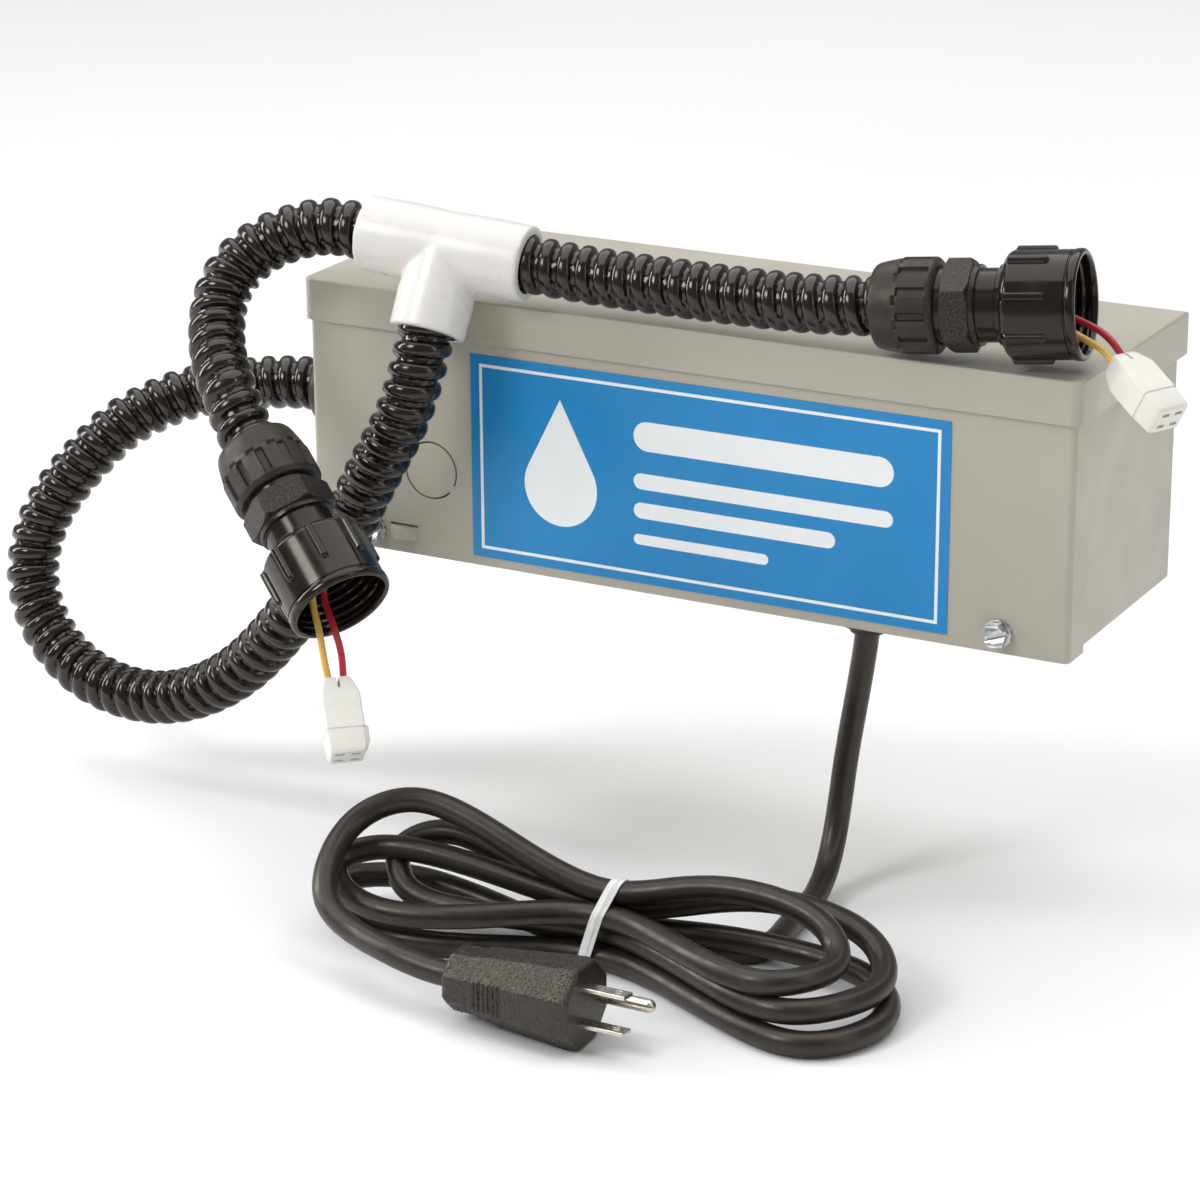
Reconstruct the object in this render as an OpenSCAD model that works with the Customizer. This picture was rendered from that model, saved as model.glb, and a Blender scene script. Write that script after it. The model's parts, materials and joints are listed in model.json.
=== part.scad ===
// Power unit of a twin-lamp UV clarifier: a wall-mounted screw-cover ballast enclosure with its
// power cord and the ribbed hose harness that carries the lamp leads to two lamp-end caps.
// Millimetres. +X runs along the enclosure, +Y into the wall, +Z up. The origin is the centre of the
// four mounting holes, on the enclosure's outer back face.

/* [Enclosure] */
// Width of the enclosure over its cover
box_w = 304.8; // [290:1:320]
// Height of the enclosure, drip shield to cover edge
box_h = 101.6; // [98:0.5:106]
// Depth of the enclosure, back to cover face
box_d = 101.6; // [98:0.5:104]
// Steel sheet thickness
sheet = 1.5; // [1.2:0.1:1.8]
// Gap between sheet parts that slide past each other
slip = 0.3; // [0.3:0.05:0.5]
// Depth of the drip shield's skirt
skirt_h = 15.8; // [14:0.2:18]
// Depth of the cover's side flanges
cover_flange = 14; // [12:0.5:16]
// Height of the lip behind the cover's bottom edge
lip_h = 16; // [14:0.5:18]

/* [Wall mount] */
// Spacing of the mounting holes along the enclosure
mount_dx = 266.7; // [250:1:275]
// Spacing of the mounting holes up the enclosure
mount_dz = 63.5; // [55:1:70]
// Radius of a mounting hole
mount_r = 3.55; // [3:0.05:4]

/* [Cover details] */
// Distance of a cover screw from the middle
screw_x = 126.3; // [120:0.5:130]
// Height of the cover screws
screw_z = -43.4; // [-44:0.2:-42]
// Across flats of the screw's hexagon
screw_af = 7.94; // [7:0.1:9]
// Diameter of the trade knockout
knockout_d = 22.2; // [20:0.2:24]
// Width of the label
label_w = 190.5; // [180:1:195]
// Height of the label
label_h = 77.5; // [70:0.5:78]

/* [Hose and fittings] */
// Outside diameter of the ribbed hose
hose_d = 21; // [20:0.1:21.2]
// Outside diameter of a compression nut
nut_d = 33.3; // [32:0.1:36]
// Length of a compression nut
nut_len = 24; // [22:0.5:25]
// Across flats of the fitting's hexagon
hex_af = 29; // [28:0.5:30]
// Outside diameter of a lamp-end cap
cap_d = 37.5; // [36:0.5:40]
// Bore of a lamp-end cap
cap_bore = 33; // [32.6:0.1:33.4]
// Length of a lamp-end cap
cap_len = 26.7; // [26:0.1:30]
// Number of ribs round a cap
cap_ribs = 8; // [6:1:10]
// Outside diameter of the tee
tee_d = 28; // [26:0.5:28]
// Half length of the tee's run
tee_half = 32; // [30:0.5:34]

/* [Power cord] */
// Diameter of the power cord
cord_d = 9; // [8:0.1:9.5]
// Diameter of a lamp lead
lead_d = 2.5; // [2:0.1:3]

/* [Hidden] */
$fn = 48;
eps = 0.01;
run_fit = 0.05;                       // radial clearance of a turning fit
floor_z = -155;                       // the surface that the coiled cord lies on
top_z = box_h / 2;
bottom_z = -box_h / 2;
side_x = box_w / 2;
body_x = side_x - sheet - slip;       // outer face of the enclosure body's sides
body_top = top_z - sheet;             // top of the body, under the drip shield
body_front = -(box_d - sheet - slip); // the body's front edge
skirt_x = side_x + slip + sheet;      // outer face of the drip shield's sides
skirt_front = -(box_d + slip + sheet);

// Placing of the fittings: hose entry point, then turn about Y and Z of the axis
right_at = [77.4, -102.6, 67.9];
right_turn = [0, -5.2, 8.7];
left_at = [-134.3, -170.1, 7.3];
left_turn = [0, 36.8, -27.1];
gland_reach = 32;                     // nut nose to enclosure wall
gland_at = [-body_x - gland_reach, -46, -9];
tee_at = [-87, -110, 71];
right_socket_at = [164, -95, 57.5];
right_socket_turn = [0, 29.8, -25.8];
left_socket_at = [-80.3, -204, -62.6];
left_socket_turn = [0, 46, -48.5];
bushing_at = [70, -86, bottom_z];
plug_at = [-5.8, -252, floor_z + 14.9];
plug_len = 50.8;
hank_at = [22, -200];
hank_turn = 4.7;
tie_at = [18, -200];
ballast_screw_x = 115;
ballast_z = 14;                       // middle height of the ballast
ground_at = [118, -33];

// Stations along a fitting, from the hose entry to the cap's mouth
seal_x = 4.3;
barrel_x = 8;
hose_stop = 24;
hex_x = 26.5;
hex_len = 10;
neck_d = 25.4;
thread_d = 27;
cap_x = 47.5;
cap_wall = 2.5;
lead_bore = 15;

// Routes, each a list of points along the centreline
hose_supply_route = [
    [-159, -46, -9], [-183, -46, -9], [-199.1, -48.5, -9.5], [-212, -53, -10.8], [-222.7, -59.5, -12.1],
    [-233.7, -67, -14.5], [-244.4, -75, -19.3], [-254, -83, -26], [-263.4, -91, -36.9],
    [-272.8, -98, -50.3], [-279, -104, -65], [-280.4, -109, -81.2], [-275.9, -112.5, -95.8],
    [-266, -115.5, -107.7], [-251.7, -118, -116.3], [-234, -120, -120.3], [-213.3, -122, -119.3],
    [-190.5, -124, -111.2], [-167.8, -126.5, -95.4], [-147.1, -129.5, -73.3], [-128.8, -132, -49.5],
    [-115.1, -133.5, -25.6], [-103.8, -133.8, -5.2], [-95.3, -133, 10.5], [-90.5, -130.5, 25.2],
    [-88.2, -124.3, 43], [-87.5, -116.5, 58.3]
];
hose_left_route = [
    [-102, -111.5, 72.5], [-118.7, -113.3, 74], [-132, -115, 75], [-144, -118, 73],
    [-155.9, -122.5, 67.9], [-161.8, -126, 63.3], [-165.3, -129.5, 58.9], [-167.3, -134, 53.1],
    [-167.4, -138.5, 47], [-165.4, -143.5, 41.3], [-162, -149, 35.9], [-157.7, -154.3, 31],
    [-152.8, -159, 26.5], [-147.2, -163, 21.2], [-140, -167.2, 12.1], [-117.2, -178.9, -7.1]
];
hose_right_route = [
    [-72, -108.4, 69.6], [-55.3, -106.7, 68], [-30, -104.5, 66.2], [0, -103.9, 65.6],
    [30, -104.3, 65.7], [55, -104.6, 66.5], [77.4, -102.6, 67.9], [101, -99, 70.1]
];
power_cord_route = [
    [70, -86, -30], [70, -86, -52], [68, -86, -70], [64.8, -86, -90], [62, -86, -108],
    [60.8, -88, -124], [61, -93.5, -137], [62.5, -104.5, -146.6], [64.5, -121, -150.5],
    [66.5, -143, -150.5], [66, -164, -150.5]
];
cord_tail_route = [
    [-48, -243, -137.6], [-37, -248, -137.8], [-26, -251, -138.6], [-15, -252, -139.7],
    [-5.8, -252, -140.1]
];
left_red_route = [
    [-99, -185.5, -21.4], [-95.4, -187.3, -24.4], [-93.1, -190, -31], [-91.4, -192.6, -37.6],
    [-88, -195, -42], [-84.3, -197.5, -46.6], [-80.2, -200.3, -53.6], [-78.5, -202.1, -62.3]
];
left_yellow_route = [
    [-101.2, -189.7, -21.4], [-97.6, -191.5, -24.4], [-95.3, -194.2, -31.5], [-93.3, -197, -38.9],
    [-90.3, -199.5, -43.8], [-87.4, -202, -49], [-84.4, -204.6, -56], [-82.4, -205.5, -62.3]
];
right_red_route = [
    [124.3, -93, 72.2], [129.4, -92.2, 72.7], [136, -91, 71.6], [142, -90.4, 70.2], [147, -90, 68.6],
    [152, -90.3, 67], [156.5, -91, 65.3], [161, -92, 62.2], [164.9, -92.6, 57.7]
];
right_yellow_route = [
    [125, -97.7, 72.2], [130.1, -97, 72.7], [137, -96, 70.4], [143, -95.3, 67.6], [148.5, -95, 64.9],
    [153.5, -95.2, 62.9], [158.5, -96, 60.8], [162.6, -97.2, 57.7]
];
wire_nut_at = [[14, -60, -30], [-12, -62, -30], [-58, -62, -30], [-78, -44, -32]];
supply_black_route = [
    [72.6, -86, -29.8], [72, -85, -24], [50, -76, -17], [26, -64, -17], [14.6, -60.5, -22],
    [12.6, -60, -29], [12.6, -60, -35]
];
supply_white_route = [
    [69, -88.4, -29.8], [68, -88, -24], [40, -80, -17], [2, -66, -17], [-11, -62.5, -22],
    [-13.4, -62, -29], [-13.4, -62, -35]
];
supply_green_route = [
    [68.6, -83.9, -29.8], [70, -82, -24], [88, -60, -20], [112, -20, -18],
    [ground_at.x, -4.3, -22], [ground_at.x, -4.3, ground_at.y + 4.6]
];
lamp_red_route = [
    [-146, -46, -6], [-136, -46, -6], [-110, -52, -12], [-72, -60, -16], [-61, -62, -22],
    [-59.4, -62, -29], [-59.4, -62, -35]
];
lamp_yellow_route = [
    [-146, -46, -12], [-136, -46, -12], [-110, -45, -19], [-90, -44, -20], [-81, -44, -25],
    [-79.4, -44, -31], [-79.4, -44, -37]
];
ballast_lead_start = [[100, -32, -11], [92, -32, -11], [-92, -32, -11], [-100, -32, -11]];

// ---- helpers ----

// rectangle with round corners, from corner a to corner b
module round_rect(a, b, r) {
    translate([a.x + r, a.y]) square([b.x - a.x - 2 * r, b.y - a.y]);
    translate([a.x, a.y + r]) square([b.x - a.x, b.y - a.y - 2 * r]);
    for (x = [a.x + r, b.x - r], y = [a.y + r, b.y - r]) translate([x, y]) circle(r);
}

// ring or tube along X, from x0 to x1
module ring_x(x0, x1, d, bore) {
    translate([x0, 0, 0]) rotate([0, 90, 0]) difference() {
        cylinder(h = x1 - x0, d = d);
        translate([0, 0, -1]) cylinder(h = x1 - x0 + 2, d = bore);
    }
}

module rod_x(x0, x1, d) translate([x0, 0, 0]) rotate([0, 90, 0]) cylinder(h = x1 - x0, d = d);

function unit(v) = v / norm(v);
function tangent(p, i) = i == 0 ? unit(p[1] - p[0])
    : i == len(p) - 1 ? unit(p[i] - p[i - 1])
    : unit(unit(p[i + 1] - p[i]) + unit(p[i] - p[i - 1]));

// closed tube swept along the points of p; up is never parallel to the route
module tube(p, d, sides, up) {
    n = len(p);
    rings = [for (i = [0 : n - 1])
        let (t = tangent(p, i), a = unit(cross(up, t)), b = cross(t, a))
        for (k = [0 : sides - 1])
            p[i] + d / 2 * (cos(360 * k / sides) * a + sin(360 * k / sides) * b)];
    walls = [for (i = [0 : n - 2], k = [0 : sides - 1])
        let (k2 = (k + 1) % sides)
        [i * sides + k2, i * sides + k, (i + 1) * sides + k, (i + 1) * sides + k2]];
    first = [for (k = [0 : sides - 1]) k];
    last = [for (k = [sides - 1 : -1 : 0]) (n - 1) * sides + k];
    polyhedron(points = rings, faces = concat([first], [last], walls));
}

module at_left() translate(left_at) rotate(left_turn) children();
module at_right() translate(right_at) rotate(right_turn) children();
module at_gland() translate(gland_at) children();

// ---- enclosure ----

module enclosure_body() {
    color("#A8A399") difference() {
        union() {
            rotate([90, 0, 0]) linear_extrude(-body_front)
                difference() {
                    round_rect([-body_x, bottom_z], [body_x, body_top], 2);
                    round_rect([-body_x + sheet, bottom_z + sheet],
                               [body_x - sheet, body_top - sheet], 0.6);
                }
            translate([-body_x + sheet / 2, -sheet, bottom_z + sheet / 2])
                cube([2 * body_x - sheet, sheet, body_top - bottom_z - sheet]);
            front_lips();
        }
        wall_mount_holes();
        screw_notches();
        translate(bushing_at + [0, 0, -1]) cylinder(h = sheet + 2, d = 16);
        translate([-body_x - 1, gland_at.y, gland_at.z]) rod_x(0, sheet + 2, 22.2);
        for (p = [ground_at, [-ballast_screw_x, ballast_z], [ballast_screw_x, ballast_z]])
            translate([p.x, 1, p.y]) rotate([90, 0, 0]) cylinder(h = sheet + 2, d = 3.4);
    }
}

module front_lips() {
    for (z = [bottom_z + eps, body_top - lip_h * 0.6 - eps])
        translate([-body_x + sheet / 2, body_front, z])
            cube([2 * body_x - sheet, sheet, z < 0 ? lip_h : lip_h * 0.6]);
}

module wall_mount_holes() {
    for (x = [-1, 1] * mount_dx / 2, z = [-1, 1] * mount_dz / 2)
        translate([x, 1, z]) rotate([90, 0, 0]) cylinder(h = sheet + 2, r = mount_r);
}

// slots that let the cover drop with its captive screws
module screw_notches() {
    notch_w = 5.8;
    for (x = [-screw_x, screw_x]) {
        translate([x, body_front - 1, screw_z]) rotate([-90, 0, 0]) cylinder(h = sheet + 2, d = notch_w);
        translate([x - notch_w / 2, body_front - 1, bottom_z - 1])
            cube([notch_w, sheet + 11, screw_z - bottom_z + 1]);
    }
}

module drip_shield() {
    color("#B9B5AD") {
        translate([0, 0, top_z - sheet]) linear_extrude(sheet) shield_outline(skirt_x, skirt_front, 4);
        translate([0, 0, top_z - skirt_h]) linear_extrude(skirt_h - sheet / 2) difference() {
            shield_outline(skirt_x, skirt_front, 4);
            shield_outline(skirt_x - sheet, skirt_front + sheet, 2.5);
        }
    }
}

// plan of the shield: rounded at the front corners, square at the wall
module shield_outline(x, y, r) intersection() {
    round_rect([-x, y], [x, 20], r);
    translate([-x - 1, y - 1]) square([2 * x + 2, 1 - y]);
}

module front_cover() {
    cover_h = top_z - sheet - 0.7 - bottom_z;
    color("#AFA99B") difference() {
        union() {
            translate([0, 0, bottom_z]) linear_extrude(cover_h) intersection() {
                difference() {
                    round_rect([-side_x, -box_d], [side_x, 0], 2.4);
                    round_rect([-side_x + sheet, -box_d + sheet], [side_x - sheet, 20], 0.9);
                }
                translate([-side_x - 1, -box_d - 1]) square([box_w + 2, cover_flange + 1]);
            }
            hasp_bulge();
        }
        for (x = [-screw_x, screw_x])
            translate([x, -box_d - 1, screw_z]) rotate([-90, 0, 0]) cylinder(h = sheet + 2, d = 5.4);
        knockout_groove();
        translate([-119.5, -box_d - 3, -40.4]) cube([12, sheet + 4, 0.8]);
    }
}

// ring cut round the knockout slug, less the two tabs that hold it
module knockout_groove() {
    translate([-101.2, -box_d - 1, -17]) rotate([-90, 0, 0]) linear_extrude(sheet + 2) difference() {
        circle(d = knockout_d);
        circle(d = knockout_d - 1.2);
        for (a = [35, 215]) rotate(a) translate([0, -1.6]) square([knockout_d, 3.2]);
    }
}

// lanced bulge below the padlock slit, a slice of a thin spherical shell
module hasp_bulge() {
    bulge_r = 11.6;
    intersection() {
        translate([-113.5, -box_d - 1.8 + bulge_r, -43]) difference() {
            sphere(r = bulge_r);
            sphere(r = bulge_r - 1.2);
        }
        translate([-121, -box_d - 2, -45.6]) cube([15, 2 + sheet / 2, 5.2]);
    }
}

module cover_label() {
    color("#3A8AC4") translate([11.75 - label_w / 2, -box_d - 0.25, -8.4 - label_h / 2])
        cube([label_w, 0.25, label_h]);
}

// slotted hexagon washer-head screw, its washer resting at y = 0 and its tip towards +Y
module cover_screw() {
    washer_t = 0.9;
    head_h = 3.2;
    color("#B8B9BC") {
        difference() {
            union() {
                rotate([90, 0, 0]) cylinder(h = washer_t, d = 10.3);
                rotate([90, 0, 0]) rotate([0, 0, 12])
                    cylinder(h = washer_t + head_h, d = screw_af / cos(30), $fn = 6);
            }
            translate([0, -washer_t - head_h, 0]) rotate([0, -20, 0]) cube([12, 2.4, 1.3], center = true);
        }
        rotate([-90, 0, 0]) cylinder(h = 12, d = 4.8);
    }
}

// external-tooth lock washer, lying from y = -0.6 to y = 0
module lock_washer() {
    color("#9FA1A4") rotate([90, 0, 0]) linear_extrude(0.6) difference() {
        union() {
            circle(d = 9.4);
            for (k = [0 : 11]) rotate(k * 30) translate([4.2, -0.75]) square([1.6, 1.5]);
        }
        circle(d = 5);
    }
}

module at_screw(side, proud) translate([side * screw_x, -box_d - proud, screw_z]) children();

// ---- inside the enclosure ----

module ballast_base() {
    color("#D8D8D4") difference() {
        translate([-122, -sheet - 1.2, -14]) cube([244, 1.2, 56]);
        for (x = [-1, 1] * ballast_screw_x)
            translate([x, 0, ballast_z]) rotate([90, 0, 0]) cylinder(h = 5, d = 4.2);
    }
}

module ballast_case() {
    color("#E4E2DC") translate([0, -sheet - 1.2, ballast_z]) rotate([90, 0, 0]) difference() {
        linear_extrude(36) round_rect([-108, -28], [108, 28], 3);
        translate([0, 0, -1]) linear_extrude(36) round_rect([-107, -27], [107, 27], 2);
        for (x = [-96, 96]) translate([x, -20, 29]) rotate([90, 0, 0]) cylinder(h = 12, d = 12);
    }
}

// laminated core with two windows either side of its middle leg
module ballast_core() {
    color("#5A5A5C") translate([-40, -31.5, -8]) difference() {
        cube([80, 24, 44]);
        for (x = [10, 50]) translate([x, -1, 8]) cube([20, 26, 28]);
    }
}

// winding round the core's middle leg
module ballast_coil() {
    color("#B5713A") translate([0, 0, 0.8]) linear_extrude(26.4) difference() {
        round_rect([-28, -36], [28, -4], 4);
        translate([-10.4, -31.9]) square([20.8, 24.8]);
    }
}

module ballast_capacitor() {
    color("#9AA0A6") translate([-92, -sheet - 18, ballast_z]) {
        rod_x(0, 44, 30);
        rod_x(44, 46, 26);
    }
}

module ballast_screws() {
    color("#B8B9BC") for (x = [-1, 1] * ballast_screw_x)
        translate([x, -sheet - 1.2, ballast_z]) rotate([90, 0, 0]) difference() {
            union() {
                cylinder(h = 2.4, d = 7);
                translate([0, 0, -2.6]) cylinder(h = 3, d = 3.2);
            }
            translate([-4, -0.5, 1.4]) cube([8, 1, 2]);
        }
}

module ballast_leads() {
    color("#3C3C40") for (k = [0 : 3])
        tube([ballast_lead_start[k], ballast_lead_start[k] + [0, -4, -9],
              (ballast_lead_start[k] + wire_nut_at[k]) / 2 + [0, 0, -2],
              wire_nut_at[k] + [1.4, 1, 5], wire_nut_at[k] + [1.4, 0, -5]], lead_d, 8, [0.1, 1, 0.3]);
}

// splice caps, open at the top
module wire_nuts() {
    color("#E3B23C") for (p = wire_nut_at) translate(p) difference() {
        translate([0, 0, -9]) cylinder(h = 9, d1 = 8, d2 = 11);
        translate([0, 0, -7]) cylinder(h = 8, d = 6.6);
        for (a = [0 : 60 : 300]) rotate(a) translate([5.9, 0, -10]) cylinder(h = 8, d = 1.6);
    }
}

module ground_screw() {
    color("#4F8F55") translate([ground_at.x, -sheet - 1.2, ground_at.y]) rotate([90, 0, 0]) {
        cylinder(h = 2.6, d = 7.4, $fn = 6);
        translate([0, 0, -2.6]) cylinder(h = 3, d = 3.2);
    }
}

module ground_terminal() {
    color("#C9A24A") translate([ground_at.x, -sheet, ground_at.y]) rotate([90, 0, 0])
        linear_extrude(1.1) difference() {
            union() {
                circle(d = 9);
                translate([-2.2, 0]) square([4.4, 9]);
            }
            circle(d = 3.6);
        }
}

// snap-in strain relief: a tapered sleeve with a flange under the bottom wall
module cord_bushing() {
    color("#1C1C1E") translate(bushing_at) rotate_extrude() polygon([
        [cord_d / 2 + 0.1, -6], [6.6, -6], [7.4, -3.4], [10, -3.2], [10, 0], [7.8, 0],
        [7.8, sheet], [8.6, sheet + 1], [6.4, 17], [cord_d / 2 + 0.1, 17]
    ]);
}

// ---- hose harness ----

// compression nut: blunt nose towards the hose, grips round the rest
module gland_nut() {
    grips = 12;
    color("#2A2A2B") difference() {
        rotate([0, 90, 0]) rotate_extrude() polygon([
            [11, 1.4], [13.4, 1.4], [14.4, 2], [nut_d / 2 - 1.1, 6], [nut_d / 2 - 0.3, 11],
            [nut_d / 2, 12], [nut_d / 2, nut_len - 1.2], [nut_d / 2 - 1.2, nut_len],
            [thread_d / 2 + run_fit, nut_len], [thread_d / 2 + run_fit, 4], [11, 4]
        ]);
        for (k = [0 : grips - 1]) rotate([k * 360 / grips, 0, 0])
            translate([11.6, -1.1, nut_d / 2 - 0.8]) cube([nut_len - 13.8, 2.2, 2]);
    }
}

module gland_seal() color("#3A3A3A") ring_x(seal_x, barrel_x - 0.3, 26.4, 21.8);

// the barrel that the nut runs on, and the hose's stop
module gland_barrel(end_x) {
    difference() {
        rod_x(barrel_x, end_x, thread_d);
        rod_x(barrel_x - 1, hose_stop, 21.6);
        rod_x(hose_stop - 1, end_x + 1, lead_bore);
    }
}

module chamfered_hex(x0, len, af, bore) intersection() {
    translate([x0, 0, 0]) rotate([0, 90, 0]) difference() {
        cylinder(h = len, d = af / cos(30), $fn = 6);
        translate([0, 0, -1]) cylinder(h = len + 2, d = bore);
    }
    translate([x0, 0, 0]) rotate([0, 90, 0]) rotate_extrude() polygon([
        [0, 0], [af / 2 + 0.3, 0], [af / 2 + 2.4, 1.2], [af / 2 + 2.4, len - 1.2],
        [af / 2 + 0.3, len], [0, len]
    ]);
}

module lamp_gland_body() {
    color("#262627") {
        gland_barrel(hex_x + 1);
        chamfered_hex(hex_x, hex_len, hex_af, lead_bore);
        ring_x(hex_x + hex_len - 1, hex_x + hex_len + 2, 28, lead_bore);
        ring_x(hex_x + hex_len, cap_x + cap_wall + 0.4, neck_d, lead_bore);
        ring_x(cap_x + cap_wall + 0.2, cap_x + cap_wall + 2.7, 31, lead_bore);
    }
}

module box_gland_body() {
    color("#262627") at_gland() {
        gland_barrel(hex_x - 0.5);
        chamfered_hex(hex_x - 1, 5, hex_af, lead_bore);
        ring_x(hex_x + 3, gland_reach + 10, 21, lead_bore);
    }
}

// lamp-end cap: ribbed shell with a bore for the lamp sleeve's thread, mouth at cap_x + cap_len
module lamp_cap() {
    mouth = cap_x + cap_len;
    rib_h = 1.3;
    color("#222223") {
        rotate([0, 90, 0]) rotate_extrude() polygon([
            [neck_d / 2 + run_fit, cap_x - 2.2], [neck_d / 2 + 1.2, cap_x - 2.2],
            [neck_d / 2 + 1.2, cap_x], [cap_d / 2 - 2.6, cap_x], [cap_d / 2 - 0.8, cap_x + 0.8],
            [cap_d / 2, cap_x + 2.6], [cap_d / 2, mouth - 5.4], [cap_d / 2 + 0.35, mouth - 5],
            [cap_d / 2, mouth - 4.4], [cap_d / 2, mouth], [cap_bore / 2, mouth],
            [cap_bore / 2, cap_x + cap_wall], [neck_d / 2 + run_fit, cap_x + cap_wall]
        ]);
        for (k = [0 : cap_ribs - 1]) rotate([(k + 0.5) * 360 / cap_ribs, 0, 0])
            translate([cap_x + 1.6, -1.7, cap_d / 2 - 1]) cube([16.5, 3.4, 1 + rib_h]);
    }
}

module cap_gasket() color("#4A4A4C") ring_x(cap_x + cap_wall + 2.7, cap_x + cap_wall + 4.5, 32.4, 20);

module lead_grommet() {
    color("#303032") difference() {
        rod_x(44, cap_x + cap_wall + 2.7, lead_bore - 0.1);
        for (y = [-1, 1] * 2.4) translate([0, y, 0]) rod_x(43, 60, lead_d + 0.1);
    }
}

// four-way lamp socket: leads enter at x = 0, contacts face +X
module lamp_socket() {
    color("#E9E7E0") difference() {
        union() {
            hull() {
                translate([0, -5, -4.6]) cube([1, 10, 9.2]);
                translate([7, -7, -6]) cube([14, 14, 12]);
                translate([28, -6, -5.4]) cube([1, 12, 10.8]);
            }
            translate([18.5, 5.6, -3]) cube([8, 2.6, 6]);
        }
        for (y = [-2.8, 2.8], z = [-2.5, 2.5])
            translate([17, y - 1.6, z - 0.6]) cube([14, 3.2, 1.2]);
        translate([-1, -0.8, -7]) cube([6, 1.6, 14]);
        translate([20, -8, -7]) cube([0.6, 1.8, 14]);
    }
}

module socket_contacts() {
    color("#C9A24A") for (y = [-2.8, 2.8], z = [-2.5, 2.5])
        translate([17.2, y - 1.3, z - 0.35]) cube([8.5, 2.6, 0.7]);
}

module at_left_socket() translate(left_socket_at) rotate(left_socket_turn) children();
module at_right_socket() translate(right_socket_at) rotate(right_socket_turn) children();

// tee for slip sockets: run along X, branch towards -Z before it is turned into place
module tee() {
    bore = hose_d + 0.4;
    depth = 17.5;
    color("#EEEBE4") translate(tee_at) rotate([0, 0, 6]) rotate([0, 5.4, 0]) rotate([-26.7, 0, 0])
        difference() {
            union() {
                rod_x(-tee_half, tee_half, tee_d);
                translate([0, 0, -31.5]) cylinder(h = 31.5, d = tee_d);
            }
            rod_x(-tee_half - 1, tee_half + 1, 16);
            translate([0, 0, -32]) cylinder(h = 32, d = 16);
            rod_x(-tee_half - 1, -tee_half + depth, bore);
            rod_x(tee_half - depth, tee_half + 1, bore);
            translate([0, 0, -32.5]) cylinder(h = depth + 1, d = bore);
        }
}

// ---- power cord ----

// outer shape of the folded, tied cord
module cord_hank() {
    color("#2B2A29") translate([hank_at.x, hank_at.y, floor_z]) rotate([0, 0, hank_turn])
        linear_extrude(44) difference() {
            union() {
                square([156, 70], center = true);
                for (x = [-78, 78]) translate([x, 0]) circle(d = 70);
            }
            tie_window();
        }
}

// the hank's waist, where the tie draws it in
module tie_window() for (s = [-1, 1]) translate([tie_at.x - hank_at.x, s * 41]) circle(d = 50);

module cord_tie() {
    color("#F2F2EF") translate([tie_at.x, tie_at.y, floor_z]) rotate([0, 0, hank_turn]) rotate([90, 0, 90])
        linear_extrude(4, center = true) difference() {
            round_rect([-18, 0.2], [18, 46.5], 3);
            round_rect([-16.6, 1], [16.6, 45.5], 2);
        }
}

// octagonal slice of the plug, with its flats up, down and to the sides
module plug_slice(x, len, across) translate([x, 0, 0]) rotate([0, 90, 0]) rotate([0, 0, 22.5])
    cylinder(h = len, d = across / cos(22.5), $fn = 8);

// moulded plug, its rear at x = 0 and its face at x = plug_len
module plug_body() {
    color("#242425") translate(plug_at) difference() {
        union() {
            plug_slice(0, 12, 21);
            hull() {
                plug_slice(11.5, 1, 22.5);
                plug_slice(plug_len - 6, 4, 29.4);
                plug_slice(plug_len - 1, 1, 27.6);
            }
        }
        for (k = [0 : 5], s = [-1, 1]) translate([13.9 + k * 2, s * (12.15 + k * 0.21), 0])
            cube([0.9, 3, 13], center = true);
    }
}

// blades one above the other, ground pin behind them
module at_plug_face() translate(plug_at + [plug_len, 0, 0]) rotate([-6.5, 0, 0]) children();

module plug_blades() {
    color("#C9C3B4") at_plug_face() for (z = [-6.35, 6.35]) translate([0, -2.3, z + 0.8]) difference() {
        translate([-4, -3.15, -0.75]) cube([20.3, 6.3, 1.5]);
        translate([12.5, 0, -1]) cylinder(h = 2, d = 3);
    }
}

module plug_ground_pin() {
    color("#C9C3B4") at_plug_face() translate([0, 9.6, 0.8]) {
        rod_x(-4, 18, 4.75);
        translate([18, 0, 0]) sphere(d = 4.75);
    }
}

enclosure_body();
drip_shield();
front_cover();
cover_label();
at_screw(-1, 0.6) cover_screw();  // cover_screw_left
at_screw(1, 0.6) cover_screw();  // cover_screw_right
at_screw(-1, 0) lock_washer();  // lock_washer_left
at_screw(1, 0) lock_washer();  // lock_washer_right
ballast_base();
ballast_case();
ballast_core();
ballast_coil();
ballast_capacitor();
ballast_screws();
ballast_leads();
wire_nuts();
ground_screw();
ground_terminal();
color("#1E1E20") tube(supply_black_route, lead_d, 8, [0.1, 0.2, 1]);  // supply_lead_black
color("#E8E8E4") tube(supply_white_route, lead_d, 8, [0.1, 0.2, 1]);  // supply_lead_white
color("#3E8E4C") tube(supply_green_route, lead_d, 8, [0.1, 0.2, 1]);  // supply_lead_green
color("#C23A3E") tube(lamp_red_route, lead_d, 8, [0.1, 0.2, 1]);  // lamp_lead_red
color("#E4C25A") tube(lamp_yellow_route, lead_d, 8, [0.1, 0.2, 1]);  // lamp_lead_yellow
cord_bushing();
box_gland_body();
color("#4A4A4C") at_gland() ring_x(gland_reach - 1.5, gland_reach, 30, 21.2);  // box_gland_washer
color("#262627") at_gland() chamfered_hex(gland_reach + sheet, 4.5, 28, 21.2);  // box_gland_locknut
at_gland() gland_nut();  // box_gland_nut
at_gland() gland_seal();  // box_gland_seal
color("#1F1E1D") tube(hose_supply_route, hose_d, 12, [0.1, 1, 0.2]);  // hose_supply
tee();
color("#1F1E1D") tube(hose_left_route, hose_d, 12, [0.5, 1, -0.2]);  // hose_left
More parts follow.
